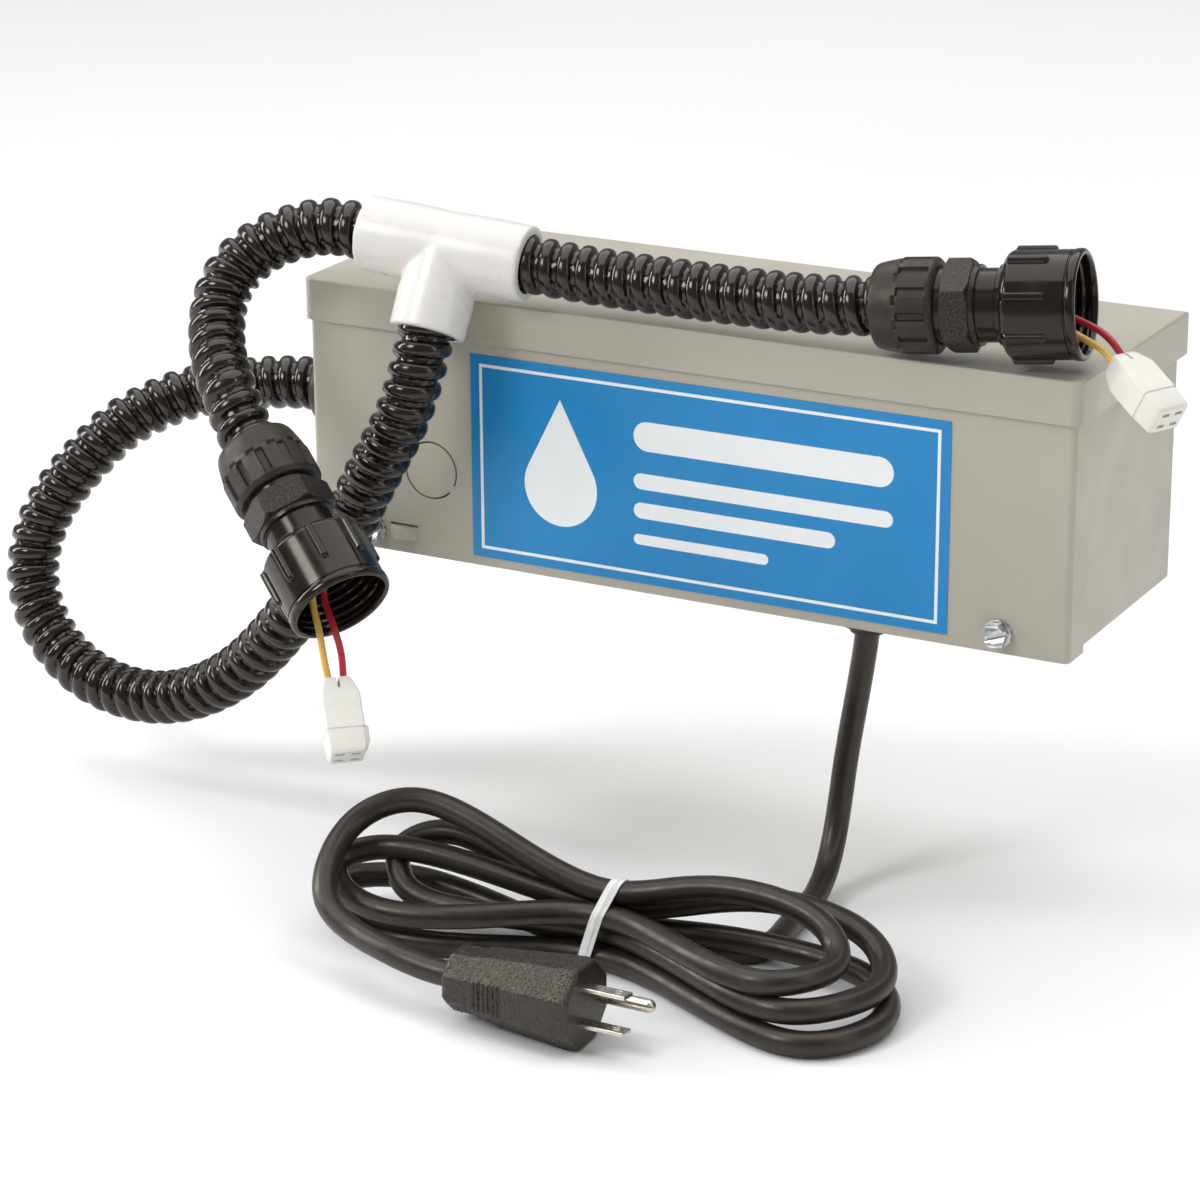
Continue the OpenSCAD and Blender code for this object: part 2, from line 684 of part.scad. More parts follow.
color("#1F1E1D") tube(hose_right_route, hose_d, 12, [0, 1, 0.2]);  // hose_right
at_left() gland_nut();  // left_gland_nut
at_left() gland_seal();  // left_gland_seal
at_left() lamp_gland_body();  // left_gland_body
at_left() lamp_cap();  // left_cap
at_left() cap_gasket();  // left_cap_gasket
at_left() lead_grommet();  // left_grommet
color("#C23A3E") tube(left_red_route, lead_d, 8, [1, 1, 0]);  // left_lead_red
color("#E4C25A") tube(left_yellow_route, lead_d, 8, [1, 1, 0]);  // left_lead_yellow
at_left_socket() lamp_socket();  // left_socket
at_left_socket() socket_contacts();  // left_contacts
at_right() gland_nut();  // right_gland_nut
at_right() gland_seal();  // right_gland_seal
at_right() lamp_gland_body();  // right_gland_body
at_right() lamp_cap();  // right_cap
at_right() cap_gasket();  // right_cap_gasket
at_right() lead_grommet();  // right_grommet
color("#C23A3E") tube(right_red_route, lead_d, 8, [0, 1, 0.2]);  // right_lead_red
color("#E4C25A") tube(right_yellow_route, lead_d, 8, [0, 1, 0.2]);  // right_lead_yellow
at_right_socket() lamp_socket();  // right_socket
at_right_socket() socket_contacts();  // right_contacts
color("#2B2A29") tube(power_cord_route, cord_d, 10, [1, 0.1, 0]);  // power_cord
cord_hank();
color("#2B2A29") tube(cord_tail_route, cord_d, 10, [0, 0.2, 1]);  // cord_tail
cord_tie();
plug_body();
plug_blades();
plug_ground_pin();
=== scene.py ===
"""Looks of the power unit of a twin-lamp UV clarifier: ballast box, ribbed hose harness and tied mains cord.

Lengths in the tables below are millimetres in the CAD frame: +X along the box, +Y into the wall, +Z up.
"""

import json
import math

import bmesh
import bpy
import numpy as np
from mathutils import Matrix, Vector, noise


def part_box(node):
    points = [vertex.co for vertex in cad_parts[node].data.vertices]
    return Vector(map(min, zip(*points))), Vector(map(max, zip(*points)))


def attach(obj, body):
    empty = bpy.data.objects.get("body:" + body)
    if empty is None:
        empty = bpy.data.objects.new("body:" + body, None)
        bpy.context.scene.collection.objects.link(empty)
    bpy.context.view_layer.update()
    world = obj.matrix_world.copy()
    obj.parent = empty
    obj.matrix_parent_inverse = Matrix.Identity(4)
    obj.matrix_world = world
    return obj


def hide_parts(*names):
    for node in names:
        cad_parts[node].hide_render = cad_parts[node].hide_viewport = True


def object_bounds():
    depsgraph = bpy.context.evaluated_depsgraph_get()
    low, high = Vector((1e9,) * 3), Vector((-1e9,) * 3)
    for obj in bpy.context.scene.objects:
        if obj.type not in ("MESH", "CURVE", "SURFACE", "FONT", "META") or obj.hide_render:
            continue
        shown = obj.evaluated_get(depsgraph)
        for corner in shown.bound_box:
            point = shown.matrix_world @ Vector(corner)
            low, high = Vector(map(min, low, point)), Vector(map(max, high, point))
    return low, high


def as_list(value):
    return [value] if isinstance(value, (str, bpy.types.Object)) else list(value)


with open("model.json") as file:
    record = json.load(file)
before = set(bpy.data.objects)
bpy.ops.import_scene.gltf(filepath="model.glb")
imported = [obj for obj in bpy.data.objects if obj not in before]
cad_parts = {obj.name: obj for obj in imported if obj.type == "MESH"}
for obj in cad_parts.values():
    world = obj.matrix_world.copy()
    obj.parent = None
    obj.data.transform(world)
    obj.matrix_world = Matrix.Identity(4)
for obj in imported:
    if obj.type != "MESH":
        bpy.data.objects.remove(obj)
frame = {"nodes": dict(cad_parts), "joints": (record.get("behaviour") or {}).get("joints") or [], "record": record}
cad_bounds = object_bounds()

MM = 0.001
NODES = frame["nodes"]
RECORD = frame["record"]
JOINTS = {j["name"]: j for j in frame["joints"]}
BODY_OF = {n: body for body, members in RECORD["behaviour"]["bodies"].items() for n in members}
SLOT_OF = {s["node"]: s["material_slot"] for s in RECORD["subparts"]}
FLOOR_Z = cad_bounds[0].z / MM

# ---- camera ----

CAMERA_AT = (611.7, -1291.3, 417.3)
CAMERA_YAW, CAMERA_PITCH, CAMERA_ROLL = 28.358, 19.310, -0.348
CAMERA_LENS, SENSOR = 117.63, 36.0


def add_camera():
    yaw, pitch, roll = (math.radians(a) for a in (CAMERA_YAW, CAMERA_PITCH, CAMERA_ROLL))
    forward = Vector((-math.sin(yaw) * math.cos(pitch), math.cos(yaw) * math.cos(pitch), -math.sin(pitch)))
    level = Vector((math.cos(yaw), math.sin(yaw), 0))
    upright = level.cross(forward)
    right = math.cos(roll) * level + math.sin(roll) * upright
    up = -math.sin(roll) * level + math.cos(roll) * upright
    data = bpy.data.cameras.new("camera")
    data.lens, data.sensor_width = CAMERA_LENS, SENSOR
    data.clip_start, data.clip_end = 0.05, 50
    camera = bpy.data.objects.new("camera", data)
    bpy.context.scene.collection.objects.link(camera)
    turned = Matrix((right, up, -forward)).transposed().to_4x4()
    camera.matrix_world = Matrix.Translation(Vector(CAMERA_AT) * MM) @ turned
    bpy.context.scene.camera = camera


add_camera()

# ---- curves and meshes ----


def smooth_line(points, step=1.0):
    """The natural cubic spline through points, with a point about every step."""
    p = np.array([tuple(q) for q in points], float)
    t = np.concatenate([[0], np.cumsum(np.sqrt(np.linalg.norm(np.diff(p, axis=0), axis=1)))])
    n, h = len(p), np.diff(t)
    lhs, rhs = np.eye(n), np.zeros((n, 3))
    for i in range(1, n - 1):
        lhs[i, i - 1 : i + 2] = h[i - 1], 2 * (h[i - 1] + h[i]), h[i]
        rhs[i] = 6 * ((p[i + 1] - p[i]) / h[i] - (p[i] - p[i - 1]) / h[i - 1])
    m = np.linalg.solve(lhs, rhs)
    s = np.linspace(0, t[-1], 40 * n)
    k = np.clip(np.searchsorted(t, s, side="right") - 1, 0, n - 2)
    x, hk = (s - t[k])[:, None], h[k][:, None]
    slope = (p[k + 1] - p[k]) / hk - hk * (2 * m[k] + m[k + 1]) / 6
    q = p[k] + x * slope + x**2 * m[k] / 2 + x**3 * (m[k + 1] - m[k]) / (6 * hk)
    return respaced(q, step)


def respaced(line, step):
    along = np.concatenate([[0], np.cumsum(np.linalg.norm(np.diff(line, axis=0), axis=1))])
    at = np.linspace(0, along[-1], int(round(along[-1] / step)) + 1)
    return np.stack([np.interp(at, along, line[:, j]) for j in range(3)], axis=1)


def line_length(line):
    return float(np.linalg.norm(np.diff(line, axis=0), axis=1).sum())


def turning_frames(line):
    """Two unit normals at each point of a line that turn with it and never twist."""
    t = np.gradient(line, axis=0)
    t /= np.linalg.norm(t, axis=1)[:, None]
    a = np.cross(t[0], (0.13, 0.2, 0.97))
    normals = [a / np.linalg.norm(a)]
    for i in range(1, len(line)):
        a = normals[-1] - t[i] * (normals[-1] @ t[i])
        normals.append(a / np.linalg.norm(a))
    normals = np.array(normals)
    return normals, np.cross(t, normals)


def mesh_object(name, points, faces, sharp=35.0):
    """A smooth-shaded object from points in millimetres, with edges over sharp degrees kept crisp."""
    mesh = bpy.data.meshes.new(name)
    mesh.from_pydata([tuple(p) for p in np.asarray(points, float) * MM], [], faces)
    mesh.validate()
    return shown(name, mesh, sharp)


def shown(name, mesh, sharp=35.0):
    mesh.name = name
    mesh.polygons.foreach_set("use_smooth", [True] * len(mesh.polygons))
    mesh.set_sharp_from_angle(angle=math.radians(sharp))
    piece = bpy.data.objects.new(name, mesh)
    bpy.context.scene.collection.objects.link(piece)
    return piece


def grid_faces(rows, columns, wrap_rows=False):
    """Quads of a grid that wraps round its columns, and round its rows too for a closed section."""
    last = rows if wrap_rows else rows - 1
    return [
        (i * columns + j, i * columns + (j + 1) % columns,
         (i + 1) % rows * columns + (j + 1) % columns, (i + 1) % rows * columns + j)
        for i in range(last) for j in range(columns)
    ]


def capped_faces(rows, columns):
    """Quads of a grid that wraps round its columns, with one face over each end."""
    count = rows * columns
    ends = [tuple(range(columns - 1, -1, -1)), tuple(range(count - columns, count))]
    return grid_faces(rows, columns) + ends


def tube(name, line, sides, radius):
    """A capped tube along a line. radius is a number, or a function of distance along and angle round."""
    a, b = turning_frames(line)
    along = np.concatenate([[0], np.cumsum(np.linalg.norm(np.diff(line, axis=0), axis=1))])
    angle = np.arange(sides) * 2 * math.pi / sides
    r = radius(along[:, None], angle[None, :]) if callable(radius) else np.full((len(line), sides), radius)
    c, s = (r * np.cos(angle))[:, :, None], (r * np.sin(angle))[:, :, None]
    points = (line[:, None] + c * a[:, None] + s * b[:, None]).reshape(-1, 3)
    return mesh_object(name, points, capped_faces(len(line), sides))


def lathe(name, section, place, columns=96, relief=None, sharp=35.0):
    """A closed section of (x, r) points turned about X and put in place.

    relief(x, angle, row) gives what is added to r.
    """
    x = np.array([p[0] for p in section], float)
    r = np.array([p[1] for p in section], float)
    angle = np.arange(columns) * 2 * math.pi / columns
    radius = np.repeat(r[:, None], columns, axis=1)
    if relief:
        radius = radius + relief(x[:, None], angle[None, :], np.arange(len(x))[:, None])
    along = np.repeat(x[:, None], columns, axis=1)
    points = np.stack([along, radius * np.cos(angle), radius * np.sin(angle)], axis=2)
    piece = mesh_object(name, points.reshape(-1, 3), grid_faces(len(x), columns, wrap_rows=True), sharp)
    piece.data.transform(in_metres(place))
    return outward(piece)


def loft(name, sections, place, sides=48):
    """A closed body through rounded rectangles: (x, half width in Y, half height in Z, corner radius)."""
    points = []
    for x, hy, hz, r in sections:
        for j in range(sides):
            a = 2 * math.pi * (j + 0.5) / sides
            cy, cz = math.copysign(hy - r, math.cos(a)), math.copysign(hz - r, math.sin(a))
            points.append((x, cy + r * math.cos(a), cz + r * math.sin(a)))
    piece = mesh_object(name, points, capped_faces(len(sections), sides), 30)
    piece.data.transform(in_metres(place))
    return outward(piece)


def in_metres(place):
    """A placing given in millimetres, for a mesh already in metres."""
    m = place.copy()
    m.translation = m.translation * MM
    return m


def outward(piece):
    b = bmesh.new()
    b.from_mesh(piece.data)
    bmesh.ops.recalc_face_normals(b, faces=b.faces)
    b.to_mesh(piece.data)
    b.free()
    return piece


def applied(piece, *modifiers):
    """Adds modifiers, each as (type, settings), and returns the piece with their result as its mesh."""
    for kind, settings in modifiers:
        modifier = piece.modifiers.new(kind.lower(), kind)
        for key, value in settings.items():
            setattr(modifier, key, value)
    depsgraph = bpy.context.evaluated_depsgraph_get()
    mesh = bpy.data.meshes.new_from_object(piece.evaluated_get(depsgraph))
    piece.modifiers.clear()
    piece.data = mesh
    return piece


def cut(piece, *cutters, keep="DIFFERENCE", sharp=35.0):
    """The piece after a boolean with each cutter, which is then gone."""
    for cutter in cutters:
        applied(piece, ("BOOLEAN", {"object": cutter, "operation": keep, "solver": "EXACT"}))
        bpy.data.objects.remove(cutter)
    piece.data.polygons.foreach_set("use_smooth", [True] * len(piece.data.polygons))
    piece.data.set_sharp_from_angle(angle=math.radians(sharp))
    return piece


def remeshed(piece, voxel, rounds):
    """The piece rebuilt evenly at voxel millimetres, then smoothed that many rounds."""
    return applied(piece, ("REMESH", {"mode": "VOXEL", "voxel_size": voxel * MM}),
                   ("SMOOTH", {"factor": 0.5, "iterations": rounds}))


def rounded_copy(node, width, sharp=38.0, rings=2, pick=None):
    """A copy of a CAD node's mesh with its edges over sharp degrees rounded to width millimetres.

    pick, where given, is a list of (which edges, width) that takes the place of width.
    """
    b = bmesh.new()
    b.from_mesh(NODES[node].data)
    bmesh.ops.remove_doubles(b, verts=b.verts, dist=2e-6)
    bmesh.ops.dissolve_limit(b, angle_limit=math.radians(0.6), verts=b.verts, edges=b.edges)
    for chosen, size in (pick or [(lambda e: True, width)]):
        edges = [e for e in b.edges if len(e.link_faces) == 2
                 and e.calc_face_angle() > math.radians(sharp) and chosen(e)]
        bmesh.ops.bevel(b, geom=edges, offset=size * MM, offset_type="OFFSET", segments=rings, profile=0.5,
                        affect="EDGES", clamp_overlap=False)
    bmesh.ops.recalc_face_normals(b, faces=b.faces)
    mesh = bpy.data.meshes.new(node)
    b.to_mesh(mesh)
    b.free()
    even = ("WEIGHTED_NORMAL", {"keep_sharp": True, "weight": 100})
    return applied(shown(node + "_shell", mesh, 28), even)


def step_up(x, start, width):
    """0 before start, 1 after start + width, and smooth between."""
    t = np.clip((x - start) / width, 0, 1)
    return t * t * (3 - 2 * t)


# ---- materials ----


class Look:
    """One procedural material: a Principled shader with colour, roughness and bump layers in object space."""

    def __init__(self, name, colour, roughness, metallic=0.0, coat=0.0, coat_roughness=0.15, specular=0.5,
                 reflects=(1, 1, 1)):
        self.material = bpy.data.materials.new(name)
        self.material.use_nodes = True
        self.tree = self.material.node_tree
        self.shader = self.tree.nodes["Principled BSDF"]
        self.base = colour
        sockets = {
            "Base Color": (*colour, 1), "Roughness": roughness, "Metallic": metallic,
            "Coat Weight": coat, "Coat Roughness": coat_roughness,
            "Specular IOR Level": specular, "Specular Tint": (*reflects, 1),
        }
        for key, value in sockets.items():
            self.shader.inputs[key].default_value = value
        self.place = self.node("ShaderNodeTexCoord").outputs["Object"]
        self.colour_out = None
        self.bump_out = None

    def node(self, kind, **settings):
        made = self.tree.nodes.new(kind)
        for key, value in settings.items():
            setattr(made, key, value)
        return made

    def link(self, a, b):
        self.tree.links.new(a, b)

    def noise(self, scale, detail=3.0, stretch=(1, 1, 1)):
        mapping = self.node("ShaderNodeMapping")
        mapping.inputs["Scale"].default_value = stretch
        self.link(self.place, mapping.inputs["Vector"])
        texture = self.node("ShaderNodeTexNoise")
        texture.inputs["Scale"].default_value = scale
        texture.inputs["Detail"].default_value = detail
        self.link(mapping.outputs["Vector"], texture.inputs["Vector"])
        return texture.outputs["Fac"]

    def cells(self, scale):
        texture = self.node("ShaderNodeTexVoronoi", feature="F1")
        texture.inputs["Scale"].default_value = scale
        self.link(self.place, texture.inputs["Vector"])
        return texture.outputs["Distance"]

    def ramp(self, value, low, high, a=0.0, b=1.0):
        """value mapped from low..high to a..b."""
        mapped = self.node("ShaderNodeMapRange")
        for key, number in (("From Min", low), ("From Max", high), ("To Min", a), ("To Max", b)):
            mapped.inputs[key].default_value = number
        self.link(value, mapped.inputs["Value"])
        return mapped.outputs["Result"]

    def times(self, a, b):
        product = self.node("ShaderNodeMath", operation="MULTIPLY")
        self.link(a, product.inputs[0])
        self.link(b, product.inputs[1])
        return product.outputs["Value"]

    def tint(self, factor, colour):
        """Mixes colour over what is there, by factor."""
        mix = self.node("ShaderNodeMix", data_type="RGBA")
        if self.colour_out is None:
            mix.inputs["A"].default_value = (*self.base, 1)
        else:
            self.link(self.colour_out, mix.inputs["A"])
        mix.inputs["B"].default_value = (*colour, 1)
        self.link(factor, mix.inputs["Factor"])
        self.colour_out = mix.outputs["Result"]
        self.link(self.colour_out, self.shader.inputs["Base Color"])
        return self

    def mottle(self, scale, amount, detail=4.0, stretch=(1, 1, 1)):
        """Lets the colour drift darker and lighter by amount."""
        dark = tuple(c * (1 - amount) for c in self.base)
        light = tuple(min(1, c * (1 + amount)) for c in self.base)
        self.tint(self.ramp(self.noise(scale, detail, stretch), 0.35, 0.5, 1, 0), dark)
        return self.tint(self.ramp(self.noise(scale * 0.6, detail, stretch), 0.5, 0.68, 0, 1), light)

    def gloss(self, scale, low, high, detail=3.0, stretch=(1, 1, 1)):
        """Lets the roughness drift between low and high."""
        drift = self.ramp(self.noise(scale, detail, stretch), 0.35, 0.65, low, high)
        self.link(drift, self.shader.inputs["Roughness"])
        return self

    def bump(self, height, millimetres):
        """Adds relief of that height to what is there."""
        made = self.node("ShaderNodeBump")
        made.inputs["Distance"].default_value = millimetres * MM
        made.inputs["Strength"].default_value = 1.0
        self.link(height, made.inputs["Height"])
        if self.bump_out is not None:
            self.link(self.bump_out, made.inputs["Normal"])
        self.bump_out = made.outputs["Normal"]
        self.link(self.bump_out, self.shader.inputs["Normal"])
        return self

    def edges(self, colour, start=0.53, end=0.6, amount=1.0):
        """Wear where the surface is most convex."""
        pointed = self.node("ShaderNodeNewGeometry").outputs["Pointiness"]
        return self.tint(self.ramp(pointed, start, end, 0, amount), colour)


# The tint of what the black plastics reflect, which makes them brownish.
WARM = (1.0, 0.9, 0.79)
LOOKS = {}


def look(slot, *args, **kwargs):
    LOOKS[slot] = Look(slot, *args, **kwargs)
    return LOOKS[slot]


def add_box_looks():
    paint = look("painted_steel", (0.430, 0.405, 0.335), 0.40, coat=0.25, coat_roughness=0.3)
    paint.mottle(14, 0.05).gloss(60, 0.36, 0.5)
    paint.bump(paint.noise(700, 2), 0.03).bump(paint.noise(120, 2), 0.05)

    vinyl = look("label_vinyl", (0.012, 0.240, 0.560), 0.36, coat=0.1, coat_roughness=0.2, specular=0.3)
    vinyl.mottle(30, 0.04).gloss(90, 0.3, 0.42).bump(vinyl.noise(260, 2), 0.02)
    ink = look("label_ink", (0.86, 0.89, 0.90), 0.36, coat=0.25, coat_roughness=0.2)
    ink.mottle(60, 0.02).gloss(90, 0.3, 0.42)
    enamel = look("ballast_enamel", (0.78, 0.77, 0.74), 0.35)
    enamel.mottle(40, 0.04).bump(enamel.noise(500), 0.03)


def add_metal_looks():
    zinc = look("zinc_steel", (0.50, 0.51, 0.52), 0.24, metallic=1.0)
    zinc.mottle(420, 0.1).gloss(500, 0.2, 0.42).bump(zinc.noise(1500, 3), 0.02).edges((0.9, 0.9, 0.9))
    galvanised = look("galvanised_steel", (0.55, 0.56, 0.56), 0.4, metallic=1.0)
    spangle = galvanised.ramp(galvanised.cells(90), 0, 0.9, 0, 0.6)
    galvanised.tint(spangle, (0.72, 0.73, 0.74)).gloss(200, 0.3, 0.5)
    core = look("core_steel", (0.10, 0.10, 0.11), 0.5, metallic=0.6)
    core.mottle(900, 0.3, stretch=(1, 20, 1)).bump(core.noise(1500, 2, (0.05, 1, 0.05)), 0.1)
    copper = look("copper_winding", (0.45, 0.19, 0.08), 0.3, metallic=0.7)
    copper.mottle(300, 0.2).bump(copper.noise(1800, 1, (0.02, 0.02, 1)), 0.2)
    green = look("green_steel", (0.06, 0.24, 0.09), 0.35, metallic=0.8)
    green.mottle(500, 0.15).gloss(500, 0.25, 0.45)
    brass = look("contact_brass", (0.62, 0.43, 0.14), 0.25, metallic=1.0)
    brass.mottle(600, 0.12).gloss(700, 0.2, 0.4)
    blade = look("plug_brass", (0.62, 0.58, 0.50), 0.24, metallic=1.0)
    blade.mottle(300, 0.12).gloss(600, 0.18, 0.36, stretch=(1, 8, 8))
    blade.bump(blade.noise(2200, 3, (0.2, 1, 1)), 0.01)


def add_wire_looks():
    caps = look("wire_nut_yellow", (0.72, 0.43, 0.05), 0.4)
    caps.mottle(200, 0.06).bump(caps.noise(900), 0.04)
    insulation = {
        "lead_black": (0.018, 0.018, 0.018), "lead_white": (0.75, 0.74, 0.70),
        "lead_green": (0.03, 0.22, 0.06), "lead_red": (0.46, 0.018, 0.035),
        "lead_yellow": (0.76, 0.47, 0.10),
    }
    for slot, colour in insulation.items():
        lead = look(slot, colour, 0.32, coat=0.2)
        lead.mottle(260, 0.08).gloss(500, 0.26, 0.4).bump(lead.noise(900, 2), 0.03)
    jacket = look("cord_rubber", (0.0175, 0.0138, 0.0105), 0.36, specular=0.55, reflects=WARM)
    jacket.mottle(170, 0.2).gloss(220, 0.3, 0.43).bump(jacket.noise(900, 3), 0.025)
    jacket.tint(jacket.ramp(jacket.noise(1300, 2), 0.74, 0.78, 0, 0.35), (0.12, 0.115, 0.11))
    vinyl_plug = look("plug_vinyl", (0.019, 0.0152, 0.0118), 0.34, specular=0.6, reflects=WARM)
    vinyl_plug.mottle(220, 0.2).gloss(700, 0.28, 0.42).bump(vinyl_plug.cells(1500), 0.05)
    tie = look("white_tie", (0.82, 0.82, 0.81), 0.45)
    tie.mottle(300, 0.04).gloss(400, 0.36, 0.55).bump(tie.noise(1500, 2), 0.03)


def add_black_looks():
    nylon = look("black_nylon", (0.0175, 0.0138, 0.0108), 0.40, specular=0.45, reflects=WARM)
    nylon.mottle(240, 0.25).gloss(160, 0.34, 0.52).bump(nylon.noise(1600, 3), 0.03)
    nylon.edges((0.06, 0.058, 0.055), amount=0.6)
    gland = look("gland_nylon", (0.012, 0.0095, 0.0072), 0.2, specular=0.35, reflects=WARM)
    worn = gland.node("ShaderNodeAttribute", attribute_name="worn").outputs["Fac"]
    patches = gland.ramp(gland.noise(1500, 5), 0.45, 0.62, 0, 0.35)
    gland.mottle(240, 0.2).tint(gland.times(worn, patches), (0.11, 0.105, 0.098))
    gland.link(gland.ramp(worn, 0, 1, 0.17, 0.4), gland.shader.inputs["Roughness"])
    gland.bump(gland.times(worn, gland.noise(1900, 4)), 0.08)
    glossy = look("gloss_nylon", (0.0085, 0.0066, 0.005), 0.15, coat=0.12, coat_roughness=0.08,
                  specular=0.36, reflects=WARM)
    glossy.mottle(200, 0.2).gloss(120, 0.11, 0.22).bump(glossy.noise(110, 2), 0.05)
    rubber = look("black_rubber", (0.03, 0.03, 0.03), 0.6)
    rubber.mottle(300, 0.15).bump(rubber.noise(1200), 0.04)
    hose = look("hose_pvc", (0.0072, 0.0054, 0.004), 0.16, coat=0.15, coat_roughness=0.1, reflects=WARM)
    hose.mottle(120, 0.3).gloss(260, 0.12, 0.24).bump(hose.noise(420, 2), 0.03)


def add_white_looks():
    white = look("white_pvc", (0.72, 0.70, 0.66), 0.33, coat=0.1)
    white.mottle(40, 0.02).gloss(110, 0.26, 0.4).bump(white.noise(300, 3), 0.03)
    white.tint(white.ramp(white.noise(900, 2), 0.72, 0.76, 0, 0.35), (0.45, 0.42, 0.38))
    socket = look("socket_nylon", (0.78, 0.765, 0.71), 0.4)
    socket.mottle(160, 0.03).gloss(300, 0.34, 0.48).bump(socket.noise(1400), 0.02)


add_box_looks()
add_metal_looks()
add_wire_looks()
add_black_looks()
add_white_looks()


def finished(piece, slot, look=None):
    piece.data.materials.clear()
    piece.data.materials.append(LOOKS[look or slot].material)
    return piece


def stands_for(piece, *nodes, look=None):
    """piece shows in place of these CAD nodes: it rides on their body and takes their finish."""
    finished(piece, SLOT_OF[nodes[0]], look)
    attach(piece, BODY_OF[nodes[0]])
    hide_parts(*nodes)
    return piece


def goes_with(piece, body, slot, look=None):
    finished(piece, slot, look)
    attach(piece, body)
    return piece


# ---- the mains cord ----

CORD_D = 9.0
POWER_CORD_ROUTE = [
    (70, -86, -30), (70, -86, -52), (68, -86, -70), (64.8, -86, -90), (62, -86, -108), (60.8, -88, -124),
    (61, -93.5, -137), (62.5, -104.5, -146.6), (64.5, -121, -150.5), (66.5, -143, -150.5), (66, -164, -150.5),
]
CORD_TAIL_ROUTE = [
    (-48, -243, -137.6), (-37, -248, -137.8), (-26, -251, -138.6), (-15, -252, -139.7),
    (-5.8, -252, -140.1),
]
HANK_AT, HANK_TURN = (18.8, -191.0), 4.7
# Where each pass lies in the tied waist, (across, up), from the first pass to the last.
WAIST = [(4.6, 4.5), (-4.6, 4.5), (9.2, 12.3), (0, 12.3), (4.6, 20.1), (-4.6, 20.1), (0, 27.5)]
# Each loop's back, end and front points as (along, across, up) from the waist: left and right by turns.
LOOPS = [
    ((-80, 15, 13), (-105, 3, 11.5), (-72, -18, 4.5)),
    ((58, 17, 9), (108, -12, 5), (86, -43, 4.5)),
    ((-62, 14, 33.5), (-81.5, 5, 26.5), (-60, -7, 15)),
    ((54, 22, 24), (104, -4, 14), (80, -39, 13.5)),
    ((-76, 2, 30), (-99, -10, 25), (-68, -22, 16)),
    ((47, 4, 34), (91, -14, 23), (72, -37, 21.5)),
    ((-72, 5, 48), (-95, -17, 36), (-75, -45, 18)),
]


# How far between a loop's side and its end the point on its rounded corner lies, (along, across, up).
ROUND_END = (0.76, 0.34, 0.34)


def hank_point(p):
    along, across, up = p
    turn = math.radians(HANK_TURN)
    return (HANK_AT[0] + along * math.cos(turn) - across * math.sin(turn),
            HANK_AT[1] + along * math.sin(turn) + across * math.cos(turn), FLOOR_Z + up)


def between(a, b, t):
    return tuple(x + (y - x) * t for x, y in zip(a, b))


def round_end(flat, end):
    """The point part way round the elliptical end of a loop."""
    return tuple(a + (b - a) * share for a, b, share in zip(flat, end, ROUND_END))


def cord_points():
    points = list(POWER_CORD_ROUTE) + [hank_point((30, 14, CORD_D / 2))]
    for k, (back, end, front) in enumerate(LOOPS):
        leaving = (0, *WAIST[k])
        out, home = (back, front) if end[0] < 0 else (front, back)
        turn = [leaving, between(leaving, out, 0.5), out, round_end(out, end), end,
                round_end(home, end), home]
        if k + 1 < len(WAIST):
            turn.append(between(home, (0, *WAIST[k + 1]), 0.5))
        points += [hank_point(p) for p in turn]
    return points + CORD_TAIL_ROUTE[1:]


def add_power_cord():
    line = smooth_line(cord_points(), 2.0)
    cord = tube("mains_cord", line, 20, CORD_D / 2)
    stands_for(cord, "power_cord", "cord_hank", "cord_tail")
    return cord, line


power_cord, power_cord_line = add_power_cord()

# ---- ribbed hoses ----

HOSE_D = 21.0
HOSE_ROOT = 16.6
HOSE_PITCH = 7.4
HOSE_SUPPLY_ROUTE = [
    (-159, -46, -9), (-183, -46, -9), (-199.1, -48.5, -9.5), (-212, -53, -10.8), (-222.7, -59.5, -12.1),
    (-233.7, -67, -14.5), (-244.4, -75, -19.3), (-254, -83, -26), (-263.4, -91, -36.9),
    (-272.8, -98, -50.3), (-279, -104, -65), (-280.4, -109, -81.2), (-275.9, -112.5, -95.8),
    (-266, -115.5, -107.7), (-251.7, -118, -116.3), (-234, -120, -120.3), (-213.3, -122, -119.3),
    (-190.5, -124, -111.2), (-167.8, -126.5, -95.4), (-147.1, -129.5, -73.3), (-128.8, -132, -49.5),
    (-115.1, -133.5, -25.6), (-103.8, -133.8, -5.2), (-95.3, -133, 10.5), (-90.5, -130.5, 25.2),
    (-88.2, -124.3, 43), (-87.5, -116.5, 58.3),
]
HOSE_LEFT_ROUTE = [
    (-102, -111.5, 72.5), (-118.7, -113.3, 74), (-132, -115, 75), (-144, -118, 73),
    (-155.9, -122.5, 67.9), (-161.8, -126, 63.3), (-165.3, -129.5, 58.9), (-167.3, -134, 53.1),
    (-167.4, -138.5, 47), (-165.4, -143.5, 41.3), (-162, -149, 35.9), (-157.7, -154.3, 31),
    (-152.8, -159, 26.5), (-147.2, -163, 21.2), (-140, -167.2, 12.1), (-117.2, -178.9, -7.1),
]
HOSE_RIGHT_ROUTE = [
    (-72, -108.4, 69.6), (-55.3, -106.7, 68), (-30, -104.5, 66.2), (0, -103.9, 65.6),
    (30, -104.3, 65.7), (55, -104.6, 66.5), (77.4, -102.6, 67.9), (101, -99, 70.1),
]


def rib_radius(along, angle):
    """Round beads in a right-handed helix, with a narrow valley between turns."""
    phase = (along / HOSE_PITCH - angle / (2 * math.pi)) % 1.0
    across = np.abs(phase - 0.5) / 0.37
    bead = np.sqrt(np.clip(1 - across**2.4, 0, 1))
    return HOSE_ROOT / 2 + (HOSE_D - HOSE_ROOT) / 2 * bead


